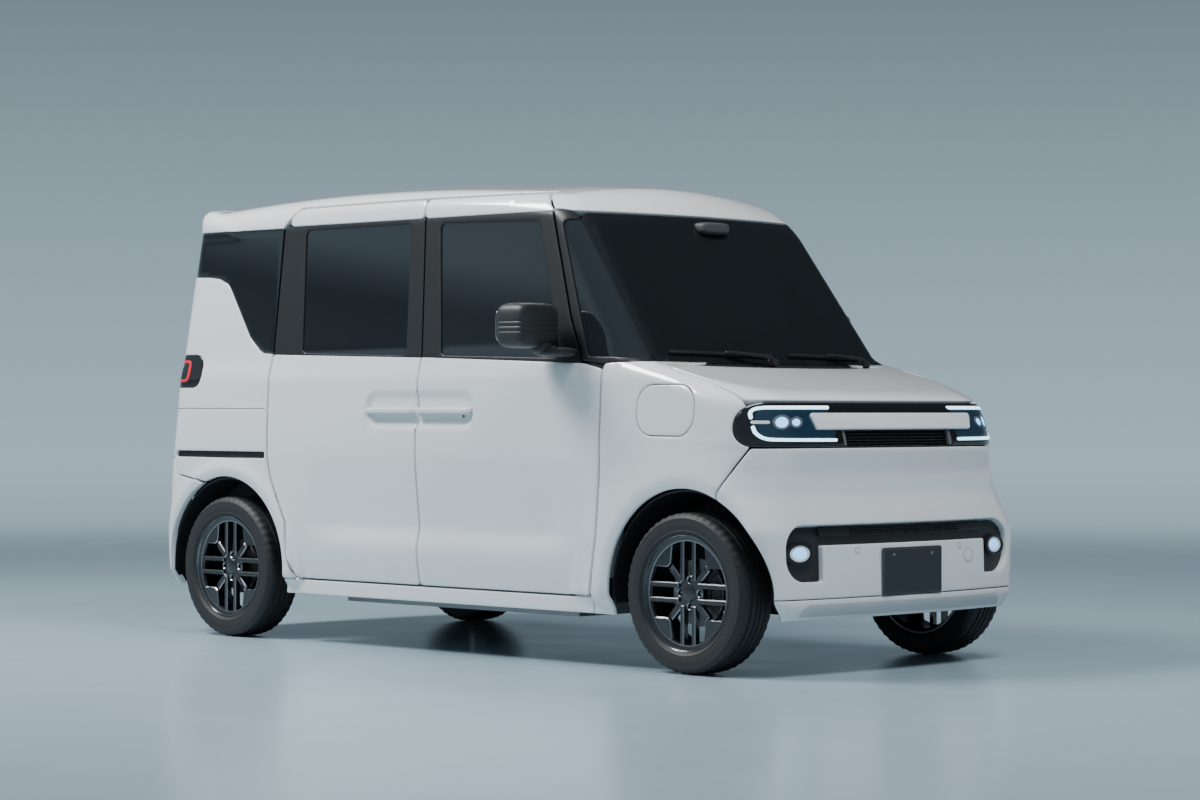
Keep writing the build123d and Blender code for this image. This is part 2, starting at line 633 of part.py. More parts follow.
door_faces = side_face(grow(FRONT_DOOR, half_gap), DOOR_CORNER) + side_face(grow(SLIDING_DOOR, half_gap), DOOR_CORNER)
ways = side_face(FRONT_APERTURE, 0) + side_face(SLIDING_APERTURE, 0)
post_face = side_face(fender_outline, 0) & whole
skin_face = whole - door_faces - post_face - side_face(rear_outline, 0) - side_face(lamp_outline, TAIL_LAMP_CORNER)
skin_face = skin_face - side_face(REAR_QUARTER_GLASS, GLASS_CORNER) - side_face(FRONT_QUARTER_GLASS, GLASS_CORNER)
flange_face = side_face(grow(FRONT_DOOR, FLANGE_LAP), 0) + side_face(grow(SLIDING_DOOR, FLANGE_LAP), 0)
flange_face = (flange_face & whole) - ways
post_inner_y = half_w - LEVELS[0][1] - FRAME_T
post = (hulls[SKIN_T] & extrude(post_face, WIDTH - post_inner_y, dir=(0, 1, 0))) - hulls[FRAME_T]
flange = (hulls[POCKET_DEPTH] & side_extrude(flange_face)) - hulls[FRAME_T]
side = (outer & side_extrude(skin_face)) - hulls[FRAME_T]
side = side - screen_cut - gate_hole
front_well = cyl_y(front_x, axle_z, -FRONT_HOUSE_Y, -WIDTH, ARCH_RADIUS)
rear_well = cyl_y(rear_x, axle_z, -REAR_HOUSE_Y, -WIDTH, ARCH_RADIUS)
post = Location((0, SEAT_GAP, 0)) * post - front_well - door_prism["front"]
flange = flange - front_well - rear_well
side = side + flange + post
for x0, x1, z0, z1 in SLIDING_PADS:
    pad = side_prism(((x0, z0), (x1, z0), (x1, z1), (x0, z1)), 0, *right)
    pad = (hulls[PANEL_T] & pad) - hulls[POCKET_DEPTH]
    parts["sliding_door"] = parts["sliding_door"] + pad
parts["tail_lamp"] = one((outer & lamp_zone) - hulls[BAND_T])
quarter = side_prism(grow(REAR_QUARTER_GLASS, -SEAT_GAP), GLASS_CORNER, *right)
parts["rear_quarter"] = one(pane_slab & quarter)
quarter = side_prism(grow(FRONT_QUARTER_GLASS, -SEAT_GAP), GLASS_CORNER, *right) - screen_cut
parts["front_quarter"] = one(pane_slab & quarter)

# Door hinges on the right front post
hinge_x = FRONT_DOOR[3][0] - half_gap + HINGE_BACK
hinge_y = -(half_w - LEVELS[5][1] - HINGE_DEPTH)
pins = []
for z in DOOR_HINGE_Z:
    arm, pin, pocket = hinge((hinge_x, hinge_y, z), (-1, 0, 0), (0, -1, 0), HINGE_ARM_W)
    parts["front_door"] = parts["front_door"] + arm
    side = side - pocket
    pins.append(pin)
side = one(side)
for pin in pins:
    side = side + pin
parts["body_side"] = side

# Wings, with the charge lid in the right one
fender = one((outer & fender_zone) - hulls[SKIN_T] - band_cut - bumper_cut - door_prism["front"])
lid_x0, lid_x1, lid_z0, lid_z1 = LID_BOX
lid_outline = ((lid_x0, lid_z0), (lid_x1, lid_z0), (lid_x1, lid_z1), (lid_x0, lid_z1))
lid = one((outer & side_prism(lid_outline, LID_CORNER, *right)) - hulls[SKIN_T])
port_y = half_w - LEVELS[8][1] - SKIN_T
tray = side_prism(grow(lid_outline, SHUT_GAP + PORT_WALL), LID_CORNER, -port_y + PORT_DEPTH, -WIDTH)
tray = (tray & hulls[SKIN_T]) - side_prism(grow(lid_outline, SHUT_GAP), LID_CORNER, -port_y + PORT_DEPTH - PORT_WALL, -WIDTH)
lid_axis = (lid_x1 + HINGE_BACK, -port_y - SKIN_T + HINGE_DEPTH, (lid_z0 + lid_z1) / 2)
arm, pin, pocket = hinge(lid_axis, (-1, 0, 0), (0, -1, 0), LID_HINGE_ARM_W)
bracket_half = LID_HINGE_ARM_W / 2 + HINGE_PIN_BITE
bracket = box(
    lid_axis[0] - HINGE_BACK / 2, lid_axis[0] + HINGE_BACK / 2, lid_axis[1] - HINGE_DEPTH,
    lid_axis[1] + HINGE_EYE_R, lid_axis[2] - bracket_half, lid_axis[2] + bracket_half)
lid_back = box(
    lid_x1 - HINGE_BITE, lid_x1 - HINGE_EYE_R, lid_axis[1] - HINGE_DEPTH + SKIN_T / 2, lid_axis[1] + HINGE_ARM_FAR,
    lid_axis[2] - LID_HINGE_ARM_W / 2, lid_axis[2] + LID_HINGE_ARM_W / 2)
parts["charge_lid"] = lid + lid_back + arm
lid_hole = side_prism(grow(lid_outline, SHUT_GAP), LID_CORNER, *right)
right_fender = one(fender - lid_hole + tray + (bracket & hulls[SKIN_T]) - pocket + pin)
parts["fender_right"] = right_fender
parts["fender_left"] = mirrored(fender)

# Bonnet and cowl
edge_half = BONNET_HALF_SEAM
edge_x = COWL_EDGE_X - (SCREEN_BOW - sqrt(SCREEN_BOW ** 2 - edge_half ** 2))


def behind_edge(shift, half, z0, z1):
    """Block behind the bowed rear edge of the bonnet."""
    face = make_face([
        ThreePointArc((edge_x + shift, -half), (COWL_EDGE_X + shift, 0), (edge_x + shift, half)),
        Line((edge_x + shift, half), (edge_x - COWL_BACK, half)),
        Line((edge_x - COWL_BACK, half), (edge_x - COWL_BACK, -half)),
        Line((edge_x - COWL_BACK, -half), (edge_x + shift, -half)),
    ])
    return extrude(Location((0, 0, z0)) * face, z1 - z0)


cowl_half = edge_half + half_gap - SEAT_GAP
cowl_low = bonnet_z(COWL_EDGE_X) - 2 * PANEL_T
cowl_zone = behind_edge(0, cowl_half, cowl_low, SCREEN_LOW_Z - SEAT_GAP)
cowl = (outer & cowl_zone) - hulls[ROOF_T]
bonnet_low = BAND_TOP_Z + SHUT_GAP
bonnet_zone = box(edge_x - COWL_BACK, LENGTH, -edge_half + half_gap, edge_half - half_gap, bonnet_low, HEIGHT)
bonnet_zone = bonnet_zone - behind_edge(BONNET_REAR_GAP, edge_half, 0, HEIGHT)
bonnet = one((outer & bonnet_zone) - hulls[PANEL_T])
hinge_edge_x = COWL_EDGE_X + SHUT_GAP - (SCREEN_BOW - sqrt(SCREEN_BOW ** 2 - BONNET_HINGE_Y ** 2))
slope = hypot(1.0, BONNET_SLOPE)
along_bonnet = (1 / slope, 0, -BONNET_SLOPE / slope)
off_bonnet = (BONNET_SLOPE / slope, 0, 1 / slope)
hinge_skin_z = bonnet_z(hinge_edge_x) - BONNET_CROWN * (BONNET_HINGE_Y / BONNET_HALF_W) ** 2
bonnet_axis_x = hinge_edge_x - HINGE_BACK * along_bonnet[0] - HINGE_DEPTH * off_bonnet[0]
bonnet_axis_z = hinge_skin_z - HINGE_BACK * along_bonnet[2] - HINGE_DEPTH * off_bonnet[2]
pins = []
for side_sign in (-1, 1):
    spot = (bonnet_axis_x, side_sign * BONNET_HINGE_Y, bonnet_axis_z)
    arm, pin, pocket = hinge(spot, along_bonnet, off_bonnet, HINGE_ARM_W)
    bonnet = bonnet + arm
    cowl = cowl - pocket
    pins.append(pin)
cowl = one(cowl)
for pin in pins:
    cowl = cowl + pin
parts["bonnet"] = bonnet
parts["cowl_panel"] = cowl

# Lamp band, bumper, lower grille and plate
band = (outer & band_zone) - hulls[BAND_T]
inner_band = box(0, LENGTH, -LAMP_INNER_Y, LAMP_INNER_Y, 0, HEIGHT)
parts["grille_panel"] = one(band & inner_band)
lamp_side = box(0, LENGTH, LAMP_INNER_Y + SEAT_GAP, WIDTH, 0, HEIGHT)
parts["headlamp"] = one(band & mirrored(lamp_side))
opening = both_sides(((LOWER_OPENING_HALF, LOWER_OPENING_BOTTOM), (LOWER_OPENING_HALF, LOWER_OPENING_TOP)))
centre_panel = box(
    0, LENGTH, -CENTRE_PANEL_HALF, CENTRE_PANEL_HALF, LOWER_OPENING_BOTTOM - SHUT_GAP, CENTRE_PANEL_TOP)
mouth = cross_prism(opening, LOWER_OPENING_CORNER, front_x, LENGTH) - centre_panel
plate_face_x = half_l - LEVELS[2][2] - PLATE_RECESS
recess = box(
    plate_face_x, LENGTH, -PLATE_W / 2 - PLATE_MARGIN, PLATE_W / 2 + PLATE_MARGIN,
    PLATE_Z - PLATE_H / 2 - PLATE_MARGIN, PLATE_Z + PLATE_H / 2 + PLATE_MARGIN)
plate = box(
    plate_face_x, plate_face_x + PLATE_T, -PLATE_W / 2, PLATE_W / 2, PLATE_Z - PLATE_H / 2, PLATE_Z + PLATE_H / 2)
bolts = []
for side_sign in (-1, 1):
    spot = (plate_face_x, side_sign * PLATE_BOLT_SPACING / 2, PLATE_Z + PLATE_BOLT_RISE)
    bolts.append(Location(spot, (0, 90, 0)) * Cylinder(PLATE_BOLT_R, 4 * PLATE_RECESS))
bumper = (outer & bumper_zone) - hulls[BAND_T] - mouth - recess - bolts[0] - bolts[1]
parts["front_bumper"] = one(bumper)
parts["number_plate"] = plate - bolts[0] - bolts[1]
grille_zone = cross_prism(
    grow(opening, PLATE_MARGIN), LOWER_OPENING_CORNER, front_x + ARCH_RADIUS / 2, LENGTH)
grille = Location((-SEAT_GAP, 0, 0)) * ((hulls[BAND_T] & grille_zone) - hulls[PANEL_T])
parts["lower_grille"] = one(grille - houses[0] - houses[1])
fog = Location((half_l, -FOG_Y, FOG_Z), (0, 90, 0)) * Cylinder(FOG_RADIUS, LENGTH / 2)
parts["fog_lamp"] = one((fog & hulls[SKIN_T]) - hulls[BAND_T])

# Tail panels and glass
tailgate = (outer & gate_zone) - hulls[PANEL_T]
rear_pane = both_sides(REAR_GLASS)
tailgate = one(tailgate - cross_prism(rear_pane, TAILGATE_CORNER, TAILGATE_X, -LENGTH))
rear_window = skins[SKIN_T][1] & cross_prism(
    grow(rear_pane, -SEAT_GAP), TAILGATE_CORNER, TAILGATE_X, -LENGTH)
parts["rear_window"] = one(rear_window - skins[SKIN_T + GLASS_T][1])
parts["rear_bumper"] = one((outer & rear_zone) - hulls[BAND_T] - gate_hole)
roof_outline = (
    (LENGTH, HEADER_Z), (LENGTH, HEIGHT + HEADER_Z), (-LENGTH, HEIGHT + HEADER_Z), (-LENGTH, HEADER_Z),
    (ROOF_RAIL_REAR_X, HEADER_Z), (ROOF_RAIL_REAR_X, ROOF_RAIL_Z), (ROOF_RAIL_FRONT_X, ROOF_RAIL_Z),
    (ROOF_RAIL_FRONT_X, HEADER_Z))
roof = (outer & side_prism(grow(roof_outline, -SEAT_GAP), 0, *wide)) - hulls[ROOF_T] - gate_hole
for prism in door_prism.values():
    roof = roof - prism - mirrored(prism)
roof_edge_z = max(v.Z for v in tailgate.vertices() if abs(v.X - TAILGATE_X) < 1)
gate_axis = (TAILGATE_X + HINGE_BACK, roof_edge_z - HINGE_DEPTH)
pins = []
for side_sign in (-1, 1):
    spot = (gate_axis[0], side_sign * GATE_HINGE_Y, gate_axis[1])
    arm, pin, pocket = hinge(spot, (-1, 0, 0), (0, 0, 1), HINGE_ARM_W)
    tailgate = tailgate + arm
    roof = roof - pocket
    pins.append(pin)
roof = one(roof)
for pin in pins:
    roof = roof + pin
parts["tailgate"] = tailgate
parts["roof_panel"] = roof
screen = (skins[SKIN_T][1] & screen_zone) - skins[SKIN_T + GLASS_T][1]
parts["windscreen"] = one(screen)

# Floor, firewall, towers and running gear
floor_half = half_w - LEVELS[0][1] - FRAME_T + FLOOR_REACH
floor = box(KICK_X, FLOOR_FRONT_X, -floor_half, floor_half, FLOOR_Z, FLOOR_Z + FLOOR_T)
floor = floor + box(KICK_X, KICK_X + FLOOR_T, -floor_half, floor_half, FLOOR_Z, REAR_FLOOR_Z + FLOOR_T)
floor = floor + box(FLOOR_REAR_X, KICK_X, -floor_half, floor_half, REAR_FLOOR_Z, REAR_FLOOR_Z + FLOOR_T)
wall_half = floor_half - FRAME_T / 2
floor = floor + box(
    FLOOR_FRONT_X, FLOOR_FRONT_X + FIREWALL_T, -wall_half, wall_half, FLOOR_Z, FIREWALL_TOP)
for side_sign in (-1, 1):
    inner_y = side_sign * TOWER_Y
    outer_y = side_sign * (TOWER_Y + TOWER_W)
    floor = floor + box(FLOOR_FRONT_X, front_x + TOWER_W / 2, inner_y, outer_y, TOWER_Z, TOWER_Z + TOWER_T)
for house in houses:
    floor = floor - house
parts["floor_pan"] = one(floor)
battery_top = FLOOR_Z - SEAT_GAP
parts["battery_pack"] = box(
    BATTERY_X - BATTERY_SIZE[0] / 2, BATTERY_X + BATTERY_SIZE[0] / 2, -BATTERY_SIZE[1] / 2, BATTERY_SIZE[1] / 2,
    battery_top - BATTERY_SIZE[2], battery_top)
low_y, low_z = KINGPIN_LOW
high_y, high_z = KINGPIN_HIGH
sub_top = FLOOR_Z - SEAT_GAP
sub_half = SUBFRAME_SIZE[1] / 2
subframe = box(
    front_x - SUBFRAME_SIZE[0] / 2, front_x + SUBFRAME_SIZE[0] / 2, -sub_half, sub_half,
    sub_top - SUBFRAME_SIZE[2], sub_top)
kingpins = {}
for side_sign in (-1, 1):
    leg_out = side_sign * sub_half
    leg_in = side_sign * (sub_half - SUBFRAME_LEG_W)
    subframe = subframe + box(
        FLOOR_FRONT_X - SUBFRAME_LEG_BACK, front_x, leg_in, leg_out, sub_top - SUBFRAME_SIZE[2], sub_top)
    low = Vector(front_x, side_sign * low_y, low_z)
    high = Vector(front_x, side_sign * high_y, high_z)
    up = (high - low).normalized()
    kingpins[side_sign] = (low, high, up)
    eye_start = low - up * (KINGPIN_EYE_H / 2)
    eye_end = low + up * (KINGPIN_EYE_H / 2)
    arm = box(
        front_x - ARM_WIDTH / 2, front_x + ARM_WIDTH / 2, side_sign * (sub_half - OVERLAP), side_sign * low_y,
        low_z - ARM_HEIGHT / 2, low_z + ARM_HEIGHT / 2)
    subframe = subframe + arm + rod(tuple(eye_start), tuple(eye_end), KINGPIN_EYE_R)
    subframe = subframe - rod(
        tuple(eye_start - up * ARM_HEIGHT), tuple(eye_end + up * ARM_HEIGHT), KINGPIN_R + HINGE_PIN_FIT)
parts["front_subframe"] = subframe
drive_low = sub_top + SEAT_GAP
parts["drive_unit"] = box(
    front_x - DRIVE_SIZE[0] / 2, front_x + DRIVE_SIZE[0] / 2, -DRIVE_SIZE[1] / 2, DRIVE_SIZE[1] / 2,
    drive_low, drive_low + DRIVE_SIZE[2])

hub_back_y = wheel_y + HUB_INNER_FACE
low, high, up = kingpins[-1]
upright_out = hub_back_y - POCKET_GAP
upright = box(
    front_x - UPRIGHT_SIZE[0] / 2, front_x + UPRIGHT_SIZE[0] / 2, -upright_out, -upright_out + UPRIGHT_SIZE[1],
    axle_z - UPRIGHT_SIZE[2] / 2 + KINGPIN_EYE_H / 2, axle_z + UPRIGHT_SIZE[2] / 2)
spindle_end = wheel_y + SPOKE_FACE_OFFSET - POCKET_GAP
knuckle = upright + cyl_y(front_x, axle_z, -upright_out, -spindle_end, SPINDLE_RADIUS)
pin_end = low - up * (KINGPIN_EYE_H / 2)
strut_low = low + up * (KINGPIN_EYE_H / 2 + POCKET_GAP)
knuckle = knuckle + rod(tuple(strut_low), tuple(high), STRUT_R) + rod(tuple(pin_end), tuple(strut_low + up * OVERLAP), KINGPIN_R)
parts["knuckle_right"] = knuckle
parts["knuckle_left"] = mirrored(knuckle)

beam_z = axle_z - REAR_BEAM_SIZE[1] / 2
axle = box(
    REAR_BEAM_X - REAR_BEAM_SIZE[0] / 2, REAR_BEAM_X + REAR_BEAM_SIZE[0] / 2, -REAR_ARM_Y, REAR_ARM_Y,
    beam_z, beam_z + REAR_BEAM_SIZE[1])
for side_sign in (-1, 1):
    arm_in = side_sign * (REAR_ARM_Y - REAR_ARM_W / 2)
    arm_out = side_sign * (REAR_ARM_Y + REAR_ARM_W / 2)
    axle = axle + box(rear_x - REAR_ARM_H, REAR_PIVOT_X, arm_in, arm_out, axle_z - REAR_ARM_H / 2, axle_z + REAR_ARM_H / 2)
    axle = axle + box(
        REAR_PIVOT_X - REAR_ARM_H, REAR_PIVOT_X, arm_in, arm_out, axle_z - REAR_ARM_H / 2, REAR_FLOOR_Z - SEAT_GAP)
    axle = axle + cyl_y(rear_x, axle_z, arm_in, side_sign * spindle_end, SPINDLE_RADIUS)
parts["rear_axle"] = axle

liners = []
for x, inner_y in ((front_x, FRONT_HOUSE_Y), (rear_x, REAR_HOUSE_Y)):
    liner = cyl_y(x, axle_z, -inner_y, -liner_edge, HOUSE_RADIUS + LINER_WALL)
    liner = liner - cyl_y(x, axle_z, -inner_y - LINER_WALL, -WIDTH, HOUSE_RADIUS)
    liner = liner - box(-LENGTH, LENGTH, -WIDTH, 0, -HEIGHT, FLOOR_Z)
    if x == front_x:
        liner = liner - rod(tuple(low), tuple(high), STRUT_R + 2 * POCKET_GAP)
        liner = liner - box(x - ARM_WIDTH, x + ARM_WIDTH, -WIDTH, 0, 0, axle_z + REAR_ARM_H)
    else:
        liner = liner - box(x - 2 * REAR_ARM_H, x + HOUSE_RADIUS + LINER_WALL, -WIDTH, 0, 0, axle_z + REAR_ARM_H)
    liners.append(one(liner))

# Wheels
tyre_half = TYRE_WIDTH / 2
rim_half = RIM_WIDTH / 2
bead = BEAD_RADIUS + SEAT_GAP
tyre_section = make_face(Polyline(
    (bead, -rim_half + RIM_WALL), (RIM_FLANGE_RADIUS + 2 * SEAT_GAP, -rim_half + RIM_WALL),
    (RIM_FLANGE_RADIUS + 2 * SEAT_GAP, -rim_half), ((TYRE_RADIUS + RIM_FLANGE_RADIUS) / 2, -tyre_half),
    (TYRE_RADIUS - TYRE_SHOULDER, -tyre_half + TYRE_SHOULDER_IN), (TYRE_RADIUS, -tyre_half + TYRE_SHOULDER),
    (TYRE_RADIUS, tyre_half - TYRE_SHOULDER), (TYRE_RADIUS - TYRE_SHOULDER, tyre_half - TYRE_SHOULDER_IN),
    ((TYRE_RADIUS + RIM_FLANGE_RADIUS) / 2, tyre_half), (RIM_FLANGE_RADIUS + 2 * SEAT_GAP, rim_half),
    (RIM_FLANGE_RADIUS + 2 * SEAT_GAP, rim_half - RIM_WALL), (bead, rim_half - RIM_WALL), close=True).edges())
rim_section = make_face(Polyline(
    (BEAD_RADIUS - RIM_WALL, -rim_half), (RIM_FLANGE_RADIUS, -rim_half),
    (RIM_FLANGE_RADIUS, -rim_half + RIM_WALL - SEAT_GAP), (BEAD_RADIUS, -rim_half + RIM_WALL - SEAT_GAP),
    (BEAD_RADIUS, rim_half - RIM_WALL + SEAT_GAP), (RIM_FLANGE_RADIUS, rim_half - RIM_WALL + SEAT_GAP),
    (RIM_FLANGE_RADIUS, rim_half), (BEAD_RADIUS - RIM_WALL, rim_half), close=True).edges())


def wheel(x, side_sign):
    """Tyre and rim of one wheel; side_sign points outboard."""
    centre = Vector(x, side_sign * wheel_y, axle_z)
    plane = Plane(origin=centre, x_dir=(0, 0, 1), z_dir=(-side_sign, 0, 0))
    spin = Axis(centre, (0, 1, 0))
    tyre = revolve(plane * tyre_section, spin, 360)
    rim = revolve(plane * rim_section, spin, 360)

    def disc(y0, y1, radius):
        return cyl_y(x, axle_z, side_sign * (wheel_y + y0), side_sign * (wheel_y + y1), radius)

    face = disc(SPOKE_FACE_OFFSET, SPOKE_FACE_OFFSET + SPOKE_FACE_DEPTH, BEAD_RADIUS - RIM_WALL / 2)
    slot_length = SPOKE_SLOT_OUTER - SPOKE_SLOT_INNER
    for i in range(SPOKE_COUNT):
        slot = Location((SPOKE_SLOT_INNER + slot_length / 2, 0, 0)) * Box(slot_length, WIDTH, SPOKE_SLOT_WIDTH)
        face = face - Location((x, side_sign * wheel_y, axle_z)) * (
            Rotation(0, (i + 0.5) * 360 / SPOKE_COUNT, 0) * slot)
    hub = disc(HUB_INNER_FACE, SPOKE_FACE_OFFSET + SPOKE_FACE_DEPTH, HUB_RADIUS)
    rotor = disc(HUB_INNER_FACE, HUB_INNER_FACE + ROTOR_THICKNESS, ROTOR_RADIUS)
    bore = disc(HUB_INNER_FACE - OVERLAP, SPOKE_FACE_OFFSET, SPINDLE_RADIUS + HINGE_PIN_FIT)
    return tyre, rim + face + hub + rotor - bore


for place, x in (("front", front_x), ("rear", rear_x)):
    for hand, side_sign in (("right", -1), ("left", 1)):
        tyre, rim = wheel(x, side_sign)
        parts["tyre_" + place + "_" + hand] = tyre
        parts["rim_" + place + "_" + hand] = rim

# Cabin furniture
seat = side_prism(SEAT_PROFILE, SEAT_CORNER, -SEAT_Y - SEAT_W / 2, -SEAT_Y + SEAT_W / 2)
rest_x, rest_z, rest_t, rest_w, rest_h = HEADREST_BOX
seat = seat + box(
    rest_x - rest_t / 2, rest_x + rest_t / 2, -SEAT_Y - rest_w / 2, -SEAT_Y + rest_w / 2, rest_z, rest_z + rest_h)
floor_top = FLOOR_Z + FLOOR_T + SEAT_GAP
seat = seat + box(
    SEAT_BASE[0], SEAT_BASE[1], -SEAT_Y - SEAT_BASE[2] / 2, -SEAT_Y + SEAT_BASE[2] / 2, floor_top, SEAT_PROFILE[0][1] + OVERLAP)
bench = side_prism(BENCH_PROFILE, SEAT_CORNER, -BENCH_HALF_W, BENCH_HALF_W)
bench = bench + box(
    BENCH_BASE[0], BENCH_BASE[1], -BENCH_BASE[2], BENCH_BASE[2], floor_top, BENCH_PROFILE[0][1] + OVERLAP)
parts["rear_seat"] = bench
dash_back = FLOOR_FRONT_X - SEAT_GAP
dash_points = ((dash_back, DASH_LOW_Z),) + DASH_PROFILE + ((dash_back, DASH_PROFILE[-1][1]),)
dashboard = side_prism(dash_points, 0, -DASH_HALF_W, DASH_HALF_W)
tilt = radians(WHEEL_TILT)
wheel_at = Plane(origin=WHEEL_CENTRE, x_dir=(0, 1, 0), z_dir=(cos(tilt), 0, -sin(tilt)))
ring = wheel_at * Torus(WHEEL_RING_R, WHEEL_RIM_R)
spokes = Box(2 * WHEEL_RING_R, WHEEL_SPOKE_W, WHEEL_RIM_R) + Location((0, WHEEL_RING_R / 2)) * Box(
    WHEEL_SPOKE_W, WHEEL_RING_R, WHEEL_RIM_R)
column = Location((0, 0, COLUMN_LENGTH / 2)) * Cylinder(COLUMN_R, COLUMN_LENGTH)
steering = ring + wheel_at * spokes + wheel_at * Cylinder(WHEEL_HUB_R, 2 * WHEEL_RIM_R) + wheel_at * column
parts["dashboard"] = dashboard
parts["steering_wheel"] = one(steering - dashboard)

# Door mirror on the right door
mx0, mx1, mz0, mz1 = MIRROR_BOX
head_block = box(mx0, mx1, -MIRROR_OUT_Y, -MIRROR_IN_Y, mz0, mz1)
head_block = fillet(head_block.edges(), MIRROR_FILLET)
fx0, fx1, fz0, fz1 = MIRROR_FOOT
foot = box(fx0, fx1, -MIRROR_IN_Y - MIRROR_FILLET, -SIDE_INNER_Y, fz0, fz1)
foot = (foot - hulls[PANEL_T]) - outer
neck = box(fx0, mx1, -MIRROR_IN_Y - 2 * MIRROR_FILLET, -MIRROR_IN_Y + MIRROR_FILLET, fz0, mz0 + MIRROR_FILLET)
mirror_part = one((foot + neck + head_block) - parts["front_door"])

nodes = {
    "roof_panel": parts["roof_panel"],
    "floor_pan": parts["floor_pan"],
    "body_side_right": parts["body_side"],
    "body_side_left": mirrored(parts["body_side"]),
    "front_fender_right": parts["fender_right"],
    "front_fender_left": parts["fender_left"],
    "cowl_panel": parts["cowl_panel"],
    "bonnet": parts["bonnet"],
    "charge_lid": parts["charge_lid"],
    "front_bumper": parts["front_bumper"],
    "lower_grille": parts["lower_grille"],
    "fog_lamps": Compound([parts["fog_lamp"], mirrored(parts["fog_lamp"])]),
    "number_plate": parts["number_plate"],
    "grille_panel": parts["grille_panel"],
    "headlamps": Compound([parts["headlamp"], mirrored(parts["headlamp"])]),
    "rear_bumper": parts["rear_bumper"],
    "tail_lamps": Compound([parts["tail_lamp"], mirrored(parts["tail_lamp"])]),
    "tailgate": parts["tailgate"],
    "rear_window": parts["rear_window"],
    "windscreen": parts["windscreen"],
    "quarter_glass": Compound([
        parts["front_quarter"], parts["rear_quarter"], mirrored(parts["front_quarter"]),
        mirrored(parts["rear_quarter"])]),
    "front_door_right": parts["front_door"],
    "front_door_left": mirrored(parts["front_door"]),
    "door_glass_right": parts["front_glass"],
    "door_glass_left": mirrored(parts["front_glass"]),
    "mirror_right": mirror_part,
    "mirror_left": mirrored(mirror_part),
    "sliding_doors": Compound([parts["sliding_door"], mirrored(parts["sliding_door"])]),
    "sliding_door_glass": Compound([parts["sliding_glass"], mirrored(parts["sliding_glass"])]),
    "wheel_liners": Compound(liners + [mirrored(liner) for liner in liners]),
    "battery_pack": parts["battery_pack"],
    "drive_unit": parts["drive_unit"],
    "front_subframe": parts["front_subframe"],
    "rear_axle": parts["rear_axle"],
    "knuckle_right": parts["knuckle_right"],
    "knuckle_left": parts["knuckle_left"],
    "front_seats": Compound([seat, mirrored(seat)]),
    "rear_seat": parts["rear_seat"],
    "dashboard": parts["dashboard"],
    "steering_wheel": parts["steering_wheel"],
}
for name, shape in parts.items():
    if name.startswith(("tyre_", "rim_")):
        nodes[name] = shape

os.makedirs("parts", exist_ok=True)
for name, shape in nodes.items():
    export_step(shape, "parts/" + name + ".step")
    size = shape.bounding_box()
    print(f"{name:20s} solids {len(shape.solids())} volume {shape.volume / 1e6:9.2f} valid {shape.is_valid}",
          [round(v, 1) for v in (size.min.X, size.max.X, size.min.Y, size.max.Y, size.min.Z, size.max.Z)])
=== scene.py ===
import math

import bmesh
import bpy
import numpy as np
from mathutils import Matrix, Vector
from mathutils.geometry import delaunay_2d_cdt


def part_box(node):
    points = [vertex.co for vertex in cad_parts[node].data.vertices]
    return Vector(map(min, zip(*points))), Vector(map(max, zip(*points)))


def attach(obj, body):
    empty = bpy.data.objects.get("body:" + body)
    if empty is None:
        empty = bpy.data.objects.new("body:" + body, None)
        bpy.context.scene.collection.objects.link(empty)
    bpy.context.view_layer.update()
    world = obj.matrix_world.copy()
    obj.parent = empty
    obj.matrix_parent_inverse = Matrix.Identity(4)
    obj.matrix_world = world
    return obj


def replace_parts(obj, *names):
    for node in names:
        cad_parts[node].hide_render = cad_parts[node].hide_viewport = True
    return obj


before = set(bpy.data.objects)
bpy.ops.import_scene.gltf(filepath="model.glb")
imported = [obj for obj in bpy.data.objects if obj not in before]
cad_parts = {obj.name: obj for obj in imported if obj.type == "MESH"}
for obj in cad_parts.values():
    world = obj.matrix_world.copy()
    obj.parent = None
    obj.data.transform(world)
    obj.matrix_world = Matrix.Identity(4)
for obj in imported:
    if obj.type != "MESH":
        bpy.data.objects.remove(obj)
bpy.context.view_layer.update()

# Lengths below are in millimetres; meshes are written in metres.
MM = 0.001
FRONT_X, REAR_X, AXLE_Z, WHEEL_Y = 1270.0, -1250.0, 281.0, 642.5
ARCH_R, LIP_R = 362.0, 394.0

MIRROR_Y = np.array((1, -1, 1))
HANDS = (("right", -1), ("left", 1))
COAT_ROUGH, NOISE_DETAIL, BUMP_REACH = 0.03, 3.0, 0.001


# Materials
def add_node(tree, kind, values=(), operation=None):
    """Shader node with its constant inputs set."""
    node = tree.nodes.new(kind)
    if operation:
        node.operation = operation
    for socket, value in dict(values).items():
        node.inputs[socket].default_value = value
    return node


